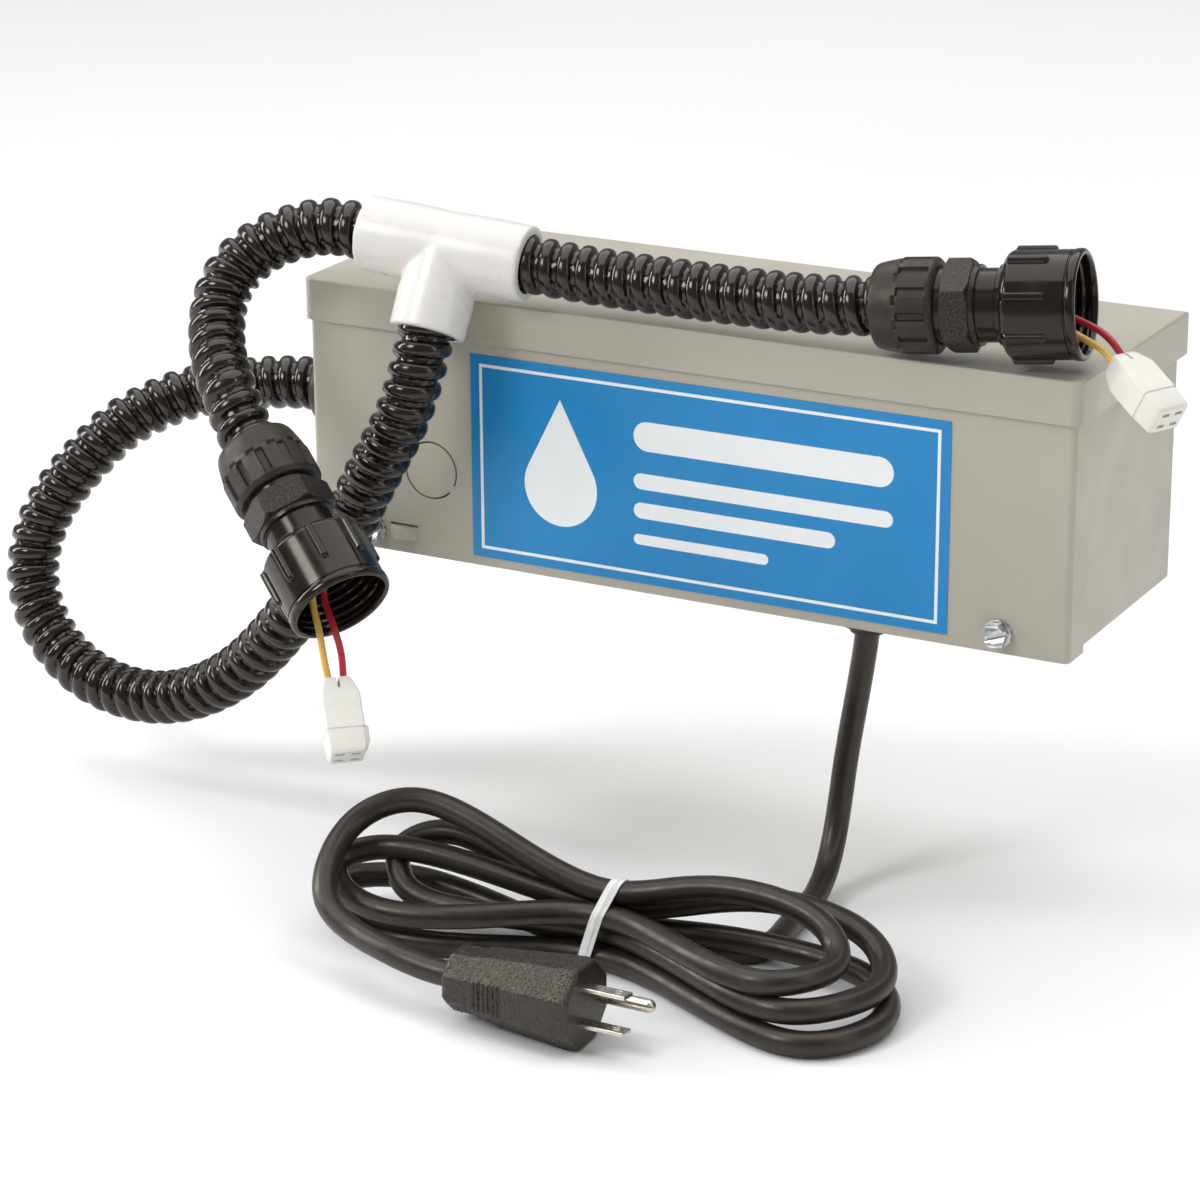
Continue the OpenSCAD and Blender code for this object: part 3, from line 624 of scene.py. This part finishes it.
def add_hose(name, route, node):
    line = smooth_line(route, 0.5)
    hose = tube(name, line, 40, rib_radius)
    stands_for(hose, node)
    return hose, line


hose_supply, hose_supply_line = add_hose("supply_hose", HOSE_SUPPLY_ROUTE, "hose_supply")
hose_left, hose_left_line = add_hose("left_hose", HOSE_LEFT_ROUTE, "hose_left")
hose_right, hose_right_line = add_hose("right_hose", HOSE_RIGHT_ROUTE, "hose_right")

# ---- lamp leads ----

LEAD_D = 2.5
LEAD_ROUTES = {
    "left_lead_red": [
        (-99, -185.5, -21.4), (-95.4, -187.3, -24.4), (-93.1, -190, -31), (-91.4, -192.6, -37.6),
        (-88, -195, -42), (-84.3, -197.5, -46.6), (-80.2, -200.3, -53.6), (-78.5, -202.1, -62.3),
    ],
    "left_lead_yellow": [
        (-101.2, -189.7, -21.4), (-97.6, -191.5, -24.4), (-95.3, -194.2, -31.5), (-93.3, -197, -38.9),
        (-90.3, -199.5, -43.8), (-87.4, -202, -49), (-84.4, -204.6, -56), (-82.4, -205.5, -62.3),
    ],
    "right_lead_red": [
        (124.3, -93, 72.2), (129.4, -92.2, 72.7), (136, -91, 71.6), (142, -90.4, 70.2), (147, -90, 68.6),
        (152, -90.3, 67), (156.5, -91, 65.3), (161, -92, 62.2), (164.9, -92.6, 57.7),
    ],
    "right_lead_yellow": [
        (125, -97.7, 72.2), (130.1, -97, 72.7), (137, -96, 70.4), (143, -95.3, 67.6), (148.5, -95, 64.9),
        (153.5, -95.2, 62.9), (158.5, -96, 60.8), (162.6, -97.2, 57.7),
    ],
}


def add_lead(node):
    line = smooth_line(LEAD_ROUTES[node], 0.6)
    lead = tube(node + "_wire", line, 16, LEAD_D / 2)
    stands_for(lead, node)
    return lead, line


leads = {node: add_lead(node) for node in LEAD_ROUTES}

# ---- lamp fittings ----

# The compression nut: its nose's start, end, radius and bore, and its grips, which start at GRIP_X.
NUT_NOSE, NUT_LEN, NUT_R, NUT_BORE = 1.3, 24.0, 16.65, 13.55
GRIPS, GRIP_X = 12, 11.6
# The lamp cap, from its shoulder at CAP_X, and the thread inside it.
CAP_X, CAP_LEN, CAP_R, CAP_BORE, NECK_R, CAP_RIBS = 47.5, 26.7, 18.7, 16.5, 12.75, 8
THREAD_PITCH, THREAD_H = 3.2, 0.55
# The first row of the cap's section that its ribs may lift: the rows before it are the hub and shoulder.
CAP_SHELL_ROW = 8
# Where each joint's own point lies along its fitting, and the ends of the wrench hexagon.
NUT_STATION, CAP_STATION = 12.0, 60.0
HEX_FROM, HEX_TO = 26.0, 36.9


def fitting_place(joint, station):
    """The fitting's own frame in millimetres: X along the joint's axis from where the hose enters."""
    axis = Vector(JOINTS[joint]["axis"]).normalized()
    about_y, about_z = -math.asin(axis.z), math.atan2(axis.y, axis.x)
    origin = Vector(JOINTS[joint]["pos_m"]) / MM - axis * station
    return Matrix.Translation(origin) @ Matrix.Rotation(about_z, 4, "Z") @ Matrix.Rotation(about_y, 4, "Y")


def nut_outline():
    """Closed section of a compression nut: rounded nose, straight grips, then the bore."""
    nose = [(0, 12.5), (0.1, 13.2), (0.35, 13.8), (0.8, 14.3), (1.6, 14.7), (3.4, 15.2), (6, 15.7),
            (8.8, 16.2), (10, 16.4)]
    outer = [(NUT_NOSE + x, r) for x, r in nose]
    outer += [(x, NUT_R) for x in np.arange(GRIP_X + 0.1, NUT_LEN - 1.3, 0.3)]
    outer += [(NUT_LEN - 1.2, NUT_R - 0.15), (NUT_LEN - 0.4, NUT_R - 0.9), (NUT_LEN, NUT_R - 1.5)]
    return outer, [(NUT_LEN, NUT_BORE), (4, NUT_BORE), (4, 11), (NUT_NOSE, 11)]


def add_nut(node, joint, station):
    outer, inner = nut_outline()

    def grips(x, angle, row):
        part = (angle * GRIPS / (2 * math.pi)) % 1.0
        bar = step_up(part, 0.13, 0.05) * (1 - step_up(part, 0.80, 0.05))
        straight = step_up(x, GRIP_X + 0.2, 0.5) * (1 - step_up(x, NUT_LEN - 2.2, 0.6))
        groove = straight * (1 - bar) * 1.05
        front = 1 - step_up(np.abs(x - GRIP_X), 0.45, 0.3)
        hook = front * step_up(part, 0.1, 0.05) * (1 - step_up(part, 0.5, 0.05)) * 0.8
        flat = straight * bar * (1 - np.cos((part - 0.47) * 2 * math.pi / GRIPS)) * -NUT_R
        return np.where(row < len(outer), -np.maximum(groove, hook) - flat * 0.6, 0)

    nut = lathe(node + "_grip", outer + inner, fitting_place(joint, station), 360, grips, 30)
    return stands_for(nut, node)


def cap_outline():
    """The parts of a lamp cap's closed section: hub and outside, rim, bore, and floor."""
    mouth = CAP_X + CAP_LEN
    outer = [(CAP_X - 2.2, NECK_R + 0.05), (CAP_X - 2.2, 13.6), (CAP_X - 1.9, 13.9), (CAP_X - 0.1, 13.95)]
    outer += [(CAP_X, 15.6), (CAP_X + 0.25, 16.5), (CAP_X + 0.8, 17.5), (CAP_X + 1.7, 18.3)]
    outer += [(x, CAP_R) for x in np.arange(CAP_X + 2.6, mouth - 4.4, 0.45)]
    lip = [(4.1, 0), (3.9, -0.35), (3.6, -0.35), (3.3, 0.05), (2.9, 0.3), (1.2, 0.35), (0.5, 0.1),
           (0.1, -0.4)]
    outer += [(mouth - back, CAP_R + out) for back, out in lip]
    rim = [(mouth, CAP_R - 0.8), (mouth - 0.1, 17.1), (mouth - 0.6, 16.75), (mouth - 1.4, CAP_BORE + 0.1)]
    bore = [(x, CAP_BORE) for x in np.arange(mouth - 1.8, CAP_X + 4.9, -0.4)]
    floor = [(CAP_X + 2.5, CAP_BORE), (CAP_X + 2.5, NECK_R + 0.05)]
    return outer, rim, bore, floor


def add_cap(node, joint, station):
    outer, rim, bore, floor = cap_outline()
    first = len(outer) + len(rim)
    last = first + len(bore)

    def relief(x, angle, row):
        part = ((angle + math.pi / 2) * CAP_RIBS / (2 * math.pi)) % 1.0
        side = np.abs(part - 0.5) * 2 * math.pi / CAP_RIBS * CAP_R
        end = np.abs(x - (CAP_X + 8.8)) - 6.2
        away = np.sqrt(np.maximum(end, 0) ** 2 + side**2)
        rib = 1.55 * np.sqrt(np.clip(1 - (away / 1.5) ** 3, 0, 1))
        turn = ((x / THREAD_PITCH) - angle / (2 * math.pi)) % 1.0
        crest = np.clip(1.6 - np.abs(turn - 0.5) * 5.2, 0, 1) * THREAD_H
        fade = step_up(x, CAP_X + 6.5, 1.5) * (1 - step_up(x, CAP_X + CAP_LEN - 3.6, 1.2))
        thread = np.where((row >= first) & (row < last), -crest * fade, 0)
        return np.where(row < len(outer), rib * (row >= CAP_SHELL_ROW), thread)

    cap = lathe(node + "_shell", outer + rim + bore + floor, fitting_place(joint, station), 384, relief, 40)
    return stands_for(cap, node)


def worn_hexagon(body, place):
    """Marks the wrench hexagon, which is duller than the neck beside it."""
    inverse = place.inverted()
    worn = body.data.attributes.new("worn", "FLOAT", "POINT")
    for v in body.data.vertices:
        along, y, z = inverse @ (v.co / MM)
        worn.data[v.index].value = 1.0 if HEX_FROM < along < HEX_TO and math.hypot(y, z) > 13.7 else 0.0
    return body


def add_fitting(side):
    nut = add_nut(side + "_gland_nut", side + "_nut_turn", NUT_STATION)
    cap = add_cap(side + "_cap", side + "_cap_turn", CAP_STATION)
    place = fitting_place(side + "_nut_turn", NUT_STATION)
    body = worn_hexagon(rounded_copy(side + "_gland_body", 0.35), place)
    stands_for(body, side + "_gland_body", look="gland_nylon")
    return [nut, cap, body] + [NODES[side + part] for part in ("_gland_seal", "_cap_gasket", "_grommet")]


left_fitting = add_fitting("left")
right_fitting = add_fitting("right")
add_nut("box_gland_nut", "box_nut_turn", NUT_STATION)

# ---- lamp sockets ----


def turned_place(at, about_z, about_y):
    """A placing at a point in millimetres, turned about Y and then about Z, in degrees."""
    return (Matrix.Translation(at) @ Matrix.Rotation(math.radians(about_z), 4, "Z")
            @ Matrix.Rotation(math.radians(about_y), 4, "Y"))


SOCKET_PLACES = {
    "left": turned_place((-80.3, -204, -62.6), -48.5, 46),
    "right": turned_place((164, -95, 57.5), -25.8, 29.8),
}


def box_cutter(low, high, place):
    points = [(x, y, z) for x in (low[0], high[0]) for y in (low[1], high[1]) for z in (low[2], high[2])]
    faces = [(0, 1, 3, 2), (4, 6, 7, 5), (0, 4, 5, 1), (2, 3, 7, 6), (0, 2, 6, 4), (1, 5, 7, 3)]
    piece = mesh_object("cutter", points, faces)
    piece.data.transform(in_metres(place))
    return outward(piece)


def add_socket(side):
    place = SOCKET_PLACES[side]
    body = loft(side + "_socket_body", [
        (0, 4.2, 3.8, 0.8), (0.5, 4.7, 4.3, 1.0), (2.0, 5.3, 4.8, 1.0), (6.4, 6.75, 5.8, 1.0),
        (7.4, 7, 6, 1.0), (19.9, 7, 6, 1.0), (20.1, 6.55, 5.55, 0.8), (20.8, 6.55, 5.55, 0.8),
        (21.0, 6.95, 5.95, 1.0), (27.6, 6.5, 5.6, 0.9), (28.5, 6.2, 5.3, 0.9), (29, 5.7, 4.8, 0.8),
    ], place)
    clip = loft("clip", [
        (18.6, 0.9, 2.6, 0.4), (19.2, 1.5, 2.9, 0.5), (24.5, 1.4, 2.9, 0.5), (26.4, 0.5, 2.4, 0.3),
    ], place @ Matrix.Translation((0, 7.0, 0)))
    cut(body, clip, keep="UNION")
    slots = [box_cutter((17, y - 1.6, z - 0.7), (31, y + 1.6, z + 0.7), place)
             for y in (-2.8, 2.8) for z in (-2.5, 2.5)]
    slots.append(box_cutter((-1, -0.5, -7), (4.6, 0.5, 7), place))
    return stands_for(cut(body, *slots, sharp=28), side + "_socket")


sockets = {side: add_socket(side) for side in SOCKET_PLACES}

# ---- tee ----

# The run's half length, the branch's length from the middle, and the hose sockets' radius and depth.
TEE_R, TEE_HALF, TEE_BRANCH, TEE_BORE, TEE_DEPTH = 14.0, 32.0, 31.5, 10.75, 17.5
TEE_PLACE = turned_place((-87, -110, 71), 6, 5.4) @ Matrix.Rotation(math.radians(-26.7), 4, "X")
BRANCH_PLACE = TEE_PLACE @ Matrix.Rotation(math.radians(90), 4, "Y")


def rod(x0, x1, r, place):
    """A plain round bar along X to cut with, its ends closed at the middle."""
    return lathe("bore", [(x0, 0.001), (x0, r), (x1, r), (x1, 0.001)], place, 72)


def add_tee():
    """A moulded tee: run and branch joined with a soft fillet, then bored, with a socket at each end."""
    run = [(-TEE_HALF, 0.001), (-TEE_HALF, TEE_R - 0.2), (-TEE_HALF + 16, TEE_R), (0, TEE_R - 0.5),
           (TEE_HALF - 16, TEE_R), (TEE_HALF, TEE_R - 0.2), (TEE_HALF, 0.001)]
    branch = [(0, 0.001), (0, TEE_R - 0.6), (14, TEE_R - 0.5), (18, TEE_R), (TEE_BRANCH, TEE_R - 0.2),
              (TEE_BRANCH, 0.001)]
    tee = lathe("tee_body", run, TEE_PLACE)
    cut(tee, lathe("branch", branch, BRANCH_PLACE), keep="UNION")
    remeshed(tee, 0.6, 14)
    bores = [
        rod(-TEE_HALF - 1, TEE_HALF + 1, 8, TEE_PLACE),
        rod(1, TEE_BRANCH + 1, 8, BRANCH_PLACE),
        rod(-TEE_HALF - 1, -TEE_HALF + TEE_DEPTH, TEE_BORE, TEE_PLACE),
        rod(TEE_HALF - TEE_DEPTH, TEE_HALF + 1, TEE_BORE, TEE_PLACE),
        rod(TEE_BRANCH - TEE_DEPTH, TEE_BRANCH + 1, TEE_BORE, BRANCH_PLACE),
    ]
    return stands_for(cut(tee, *bores, sharp=50), "tee")


tee = add_tee()

# ---- plug, tie and bushing ----

PLUG_LOW, PLUG_HIGH = (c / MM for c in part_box("plug_body"))
PLUG_AT = (PLUG_LOW.x, (PLUG_LOW.y + PLUG_HIGH.y) / 2, (PLUG_LOW.z + PLUG_HIGH.z) / 2)
PLUG_LEN = PLUG_HIGH.x - PLUG_LOW.x
# The plug widens in a step at PLUG_STEP to PLUG_STEP_R, and from there by PLUG_FLARE per millimetre.
PLUG_STEP, PLUG_STEP_R, PLUG_FLARE = 11.5, 11.5, 0.096
# The grain's pebble size and height, and the size of the mesh that carries it.
PEBBLE, PEBBLE_H, PLUG_GRAIN = 1.1, 0.32, 0.34
PLUG_RIBS, PLUG_RIB_X, PLUG_RIB_STEP = 6, 13.4, 2.0


def octagon(x, across):
    """The corners of a regular octagon at x, given its size across flats."""
    r = across / 2 / math.cos(math.pi / 8)
    corners = [(k + 0.5) * math.pi / 4 for k in range(8)]
    return [(x, r * math.cos(a), r * math.sin(a)) for a in corners]


def add_plug_body():
    stations = [(0, 17.5), (0.9, 20), (2.2, 21), (11, 21.3), (11.4, 21.4), (PLUG_STEP, 2 * PLUG_STEP_R),
                (PLUG_LEN - 6, 29.4), (PLUG_LEN - 2.2, 29.5), (PLUG_LEN - 0.8, 28.9), (PLUG_LEN, 27.6)]
    points = [p for x, across in stations for p in octagon(x, across)]
    body = mesh_object("plug_moulding", points, capped_faces(len(stations), 8))
    place = Matrix.Translation(PLUG_AT)
    body.data.transform(in_metres(place))
    outward(body)
    cut(body, *[groove(PLUG_RIB_X + k * PLUG_RIB_STEP, s, place) for k in range(PLUG_RIBS) for s in (-1, 1)])
    remeshed(body, PLUG_GRAIN, 2)
    pebble(body)
    return stands_for(body, "plug_body")


def groove(x, side, place):
    """A grip groove in one side of the plug, as deep all along its flaring body."""
    wall = PLUG_STEP_R + (x - PLUG_STEP) * PLUG_FLARE
    low, high = sorted((side * (wall - 0.75), side * (wall + 3)))
    return box_cutter((x, low, -6.4), (x + 0.95, high, 6.4), place)


def pebble(piece):
    """Presses a pebbled grain into the sides, and leaves the face smooth."""
    mesh = piece.data
    face_x = PLUG_HIGH.x * MM - 0.0009
    moved = []
    for v in mesh.vertices:
        near = noise.voronoi(v.co / (PEBBLE * MM))[0]
        grain = min(1.0, (near[1] - near[0]) * 2.2) - 0.5
        moved.append(v.co + v.normal * (grain * PEBBLE_H * MM * (1 if v.co.x < face_x else 0)))
    for v, place in zip(mesh.vertices, moved):
        v.co = place
    mesh.update()
    mesh.polygons.foreach_set("use_smooth", [True] * len(mesh.polygons))


def add_ground_pin():
    """The folded ground pin, with the seam that its two edges leave."""
    low, high = (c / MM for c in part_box("plug_ground_pin"))
    middle = Matrix.Translation((low.x, (low.y + high.y) / 2, (low.z + high.z) / 2))
    pin = rounded_copy("plug_ground_pin", 0.4, rings=3)
    leaning = middle @ Matrix.Rotation(-0.35, 4, "X")
    seam = box_cutter((4, -3, -0.35), (high.x - low.x + 1, -0.6, 0.35), leaning)
    return stands_for(cut(pin, seam), "plug_ground_pin")


def hull_2d(points):
    """Convex hull of flat points, anticlockwise."""
    points = sorted(points)

    def chain(ordered):
        kept = []
        for p in ordered:
            while len(kept) > 1 and ((kept[-1][0] - kept[-2][0]) * (p[1] - kept[-2][1])
                                     - (kept[-1][1] - kept[-2][1]) * (p[0] - kept[-2][0])) <= 0:
                kept.pop()
            kept.append(p)
        return kept[:-1]

    return chain(points) + chain(points[::-1])


TIE_W, TIE_T, TIE_LEAN = 4.6, 0.5, 0.32


def add_tie():
    """A flat tie round the waist, leaning along the bundle, with its ends twisted together behind."""
    reach = CORD_D / 2 + 0.3
    rim = [(v + reach * math.cos(a), w + reach * math.sin(a))
           for v, w in WAIST for a in np.arange(0, 2 * math.pi, 0.15)]
    hull = np.array(hull_2d(rim))
    loop = np.concatenate([hull, hull[:1]])
    ring = respaced(np.c_[loop, np.zeros(len(loop))], 0.8)[:-1, :2]
    middle = ring.mean(0)
    out = ring - middle
    out /= np.linalg.norm(out, axis=1)[:, None]
    section = [(-TIE_W / 2, 0), (-TIE_W / 2, TIE_T), (-0.9, TIE_T), (-0.45, TIE_T + 0.35),
               (0.45, TIE_T + 0.35), (0.9, TIE_T), (TIE_W / 2, TIE_T), (TIE_W / 2, 0)]

    def on_band(v, w, o, along, lift):
        leaning = along + (v - middle[0]) * 0.1 + (w - middle[1]) * TIE_LEAN
        return hank_point((leaning, v + o[0] * lift, w + o[1] * lift))

    points = [on_band(v, w, o, along, lift) for (v, w), o in zip(ring, out) for along, lift in section]
    band = mesh_object("tie_band", points, grid_faces(len(ring), len(section), wrap_rows=True), 40)
    outward(band)
    start = np.array(hank_point((1, 13.5, 19)))
    twist = smooth_line([start + step for step in ((0, 0, 0), (2, 5, 2), (6, 9, 1), (11, 11, -3))], 0.3)
    ends = tube("tie_twist", twist, 24, lambda s, a: 0.55 + 0.55 * np.abs(np.cos(a - s * 1.6)))
    merged = cut(band, ends, keep="UNION")
    return stands_for(merged, "cord_tie")


def add_bushing():
    """The strain relief round the cord: a domed flange under the bottom wall, and a barrel above it."""
    low, high = (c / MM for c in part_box("cord_bushing"))
    bottom = Matrix.Translation(((low.x + high.x) / 2, (low.y + high.y) / 2, low.z))
    place = bottom @ Matrix.Rotation(-math.pi / 2, 4, "Y")
    bore, tall = CORD_D / 2 + 0.1, high.z - low.z
    section = [(0.4, bore), (0, bore + 0.5), (0, 6.1), (0.5, 6.7), (2.4, 7.4), (2.9, 9.4), (3.4, 9.9),
               (5.6, 10), (6, 9.6), (6, 7.8), (7.5, 7.8), (8.5, 8.6), (10, 8.1), (tall - 1, 6.5),
               (tall, 6), (tall, bore)]
    return stands_for(lathe("bushing_body", section, place, 72), "cord_bushing")


plug = add_plug_body()
blades = stands_for(rounded_copy("plug_blades", 0.3, rings=3), "plug_blades")
ground_pin = add_ground_pin()
tie_band = add_tie()
bushing = add_bushing()

# ---- enclosure ----


def add_enclosure():
    """The sheet-metal pieces with their bends rounded, the drip shield's top edge most."""
    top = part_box("drip_shield")[1].z
    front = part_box("front_cover")[0].y

    def top_edge(e):
        return all(v.co.z > top - 2e-5 for v in e.verts)

    def other(e):
        return not any(v.co.z > top - 1.4 * MM for v in e.verts)

    shield = rounded_copy("drip_shield", 0.3, pick=[(top_edge, 1.1), (other, 0.25)], rings=3)
    cover = rounded_copy("front_cover", 0.22)
    body = rounded_copy("enclosure_body", 0.22)
    stands_for(shield, "drip_shield")
    stands_for(cover, "front_cover")
    stands_for(body, "enclosure_body")


add_enclosure()

PRINT_LIFT, PRINT_T = 0.02, 0.03


def flat_print(name, outlines):
    """White ink on the label: each outline is a list of (x, z) about the label's middle, in millimetres."""
    low, high = (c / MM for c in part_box("cover_label"))
    cx, cz, y = (low.x + high.x) / 2, (low.z + high.z) / 2, low.y - PRINT_LIFT
    points, faces = [], []
    for outline in outlines:
        start, n = len(points), len(outline)
        points += [(cx + x, y - lift, cz + z) for lift in (0, PRINT_T) for x, z in outline]
        faces += [tuple(range(start, start + n)), tuple(range(start + 2 * n - 1, start + n - 1, -1))]
        faces += [(start + i, start + n + i, start + n + (i + 1) % n, start + (i + 1) % n) for i in range(n)]
    return outward(mesh_object(name, points, faces, 30))


def bar(x0, x1, z, height):
    """A bar with round ends."""
    r = height / 2
    ends = [(x1 - r, -math.pi / 2), (x0 + r, math.pi / 2)]
    return [(cx + r * math.cos(a + t), z + r * math.sin(a + t))
            for cx, a in ends for t in np.linspace(0, math.pi, 13)]


def droplet(cx, cz, r, tip):
    """A drop: a round bottom that draws up to a point."""
    lean = math.asin(r / tip)
    round_the_bottom = np.linspace(math.pi - lean, 2 * math.pi + lean, 40)
    arc = [(cx + r * math.cos(a), cz + r * math.sin(a)) for a in round_the_bottom]
    return arc + [(cx, cz + tip)]


def add_label():
    """A plain border, a droplet and four bars, printed on the label's face."""
    border = []
    for x0, x1, z0, z1 in ((-91.5, 91.5, 34.2, 35.4), (-91.5, 91.5, -35.4, -34.2)):
        border.append([(x0, z0), (x1, z0), (x1, z1), (x0, z1)])
    for x0, x1 in ((-91.5, -90.3), (90.3, 91.5)):
        border.append([(x0, -34.2), (x1, -34.2), (x1, 34.2), (x0, 34.2)])
    bars = [bar(-28, 74, 17, 11), bar(-28, 74, 0, 6), bar(-28, 52, -11, 6), bar(-28, 26, -22, 4)]
    art = flat_print("label_print", border + [droplet(-58, -7, 15, 33)] + bars)
    goes_with(art, BODY_OF["cover_label"], "label_vinyl", "label_ink")


add_label()

# The screwdriver slot's slant in degrees, width and depth, and the share that draws the washer in.
SLOT_RISE, SLOT_W, SLOT_DEPTH = 20, 1.7, 2.1
WASHER_IN = 0.1


def add_cover_screw(side):
    """The slotted head over a lock washer with blunt teeth, drawn in so that they end under the head."""
    low, high = (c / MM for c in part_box("cover_screw_" + side))
    middle = Matrix.Translation(((low.x + high.x) / 2, low.y, (low.z + high.z) / 2))
    slanted = middle @ Matrix.Rotation(math.radians(-SLOT_RISE), 4, "Y")
    slot = box_cutter((-6, -1, -SLOT_W / 2), (6, SLOT_DEPTH, SLOT_W / 2), slanted)
    stands_for(cut(rounded_copy("cover_screw_" + side, 0.16), slot), "cover_screw_" + side)
    washer = rounded_copy("lock_washer_" + side, 0.2)
    for v in washer.data.vertices:
        v.co.x += (middle.translation.x * MM - v.co.x) * WASHER_IN
        v.co.z += (middle.translation.z * MM - v.co.z) * WASHER_IN
    stands_for(washer, "lock_washer_" + side)


for side in ("left", "right"):
    add_cover_screw(side)
stands_for(rounded_copy("box_gland_body", 0.3), "box_gland_body", look="gland_nylon")
for node in ("box_gland_washer", "box_gland_locknut", "ground_terminal",
             "ballast_case", "ballast_base", "ballast_core"):
    stands_for(rounded_copy(node, 0.15), node)

for name, node in NODES.items():
    if not node.hide_render:
        finished(node, SLOT_OF[name])

# ---- cords' starts, lengths and pieces, worked out and not kept ----


def metres(p):
    return tuple(c * MM for c in p)


def declare(piece, line, diameter, far_end, with_pieces, stiffness="medium", lay="loose", length=None):
    """Works out a cord's start in metres, its length and its list of pieces, and keeps none of them; line is in
    millimetres. length is in metres, or else the line's own.
    """
    metres(line[0])
    length or round(line_length(line) * MM, 3)
    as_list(with_pieces)


declare(power_cord, power_cord_line, CORD_D, "plug", [plug, blades, ground_pin, tie_band, bushing],
        "medium", "coiled", 1.83)
declare(hose_supply, hose_supply_line, HOSE_D, "fitting", [tee], "stiff")
declare(hose_left, hose_left_line, HOSE_D, "fitting", left_fitting, "stiff")
declare(hose_right, hose_right_line, HOSE_D, "fitting", right_fitting, "stiff")
for side in ("left", "right"):
    red, yellow = leads[side + "_lead_red"], leads[side + "_lead_yellow"]
    declare(*red, LEAD_D, "connector", [sockets[side], NODES[side + "_contacts"]], "medium", "hanging")
    declare(*yellow, LEAD_D, "object", [], "medium", "hanging")

# ---- floor and light ----


def add_stage():
    size, z = 4.0, FLOOR_Z * MM
    mesh = bpy.data.meshes.new("floor")
    corners = [(-size, -size, z), (size, -size, z), (size, size, z), (-size, size, z)]
    mesh.from_pydata(corners, [], [(0, 1, 2, 3)])
    floor = bpy.data.objects.new("floor", mesh)
    bpy.context.scene.collection.objects.link(floor)
    ground = Look("floor_card", (0.88, 0.88, 0.88), 0.7, specular=0.2)
    ground.mottle(3, 0.01)
    mesh.materials.append(ground.material)


def add_light(name, place, aim, size, tall, power):
    data = bpy.data.lights.new(name, "AREA")
    data.shape, data.size, data.size_y, data.energy = "RECTANGLE", size, tall, power
    light = bpy.data.objects.new(name, data)
    bpy.context.scene.collection.objects.link(light)
    light.location = place
    light.rotation_mode = "QUATERNION"
    light.rotation_quaternion = (Vector(aim) - Vector(place)).to_track_quat("-Z", "Y")
    light.visible_camera = False


# Light powers: the world's strength, then each lamp's watts.
WORLD, OVERHEAD, KEY, RIGHT, LEFT = 0.3, 100, 6.5, 1.6, 7


def add_lights():
    world = bpy.data.worlds.new("world")
    bpy.context.scene.world = world
    world.use_nodes = True
    background = world.node_tree.nodes["Background"]
    background.inputs["Color"].default_value = (1, 1, 1, 1)
    background.inputs["Strength"].default_value = WORLD
    add_light("overhead", (-0.2, 0.6, 2.6), (0, 0, 0), 4.2, 4.2, OVERHEAD)
    add_light("key", (-0.55, -1.1, 0.8), (0, -0.1, 0), 0.45, 0.45, KEY)
    add_light("right_strip", (1.1, -0.3, 0.45), (0, -0.1, 0), 0.22, 0.9, RIGHT)
    add_light("left_strip", (-1.15, -0.4, 0.45), (0, -0.1, 0), 0.2, 0.9, LEFT)


add_stage()
add_lights()
bpy.context.scene.view_settings.view_transform = "Standard"
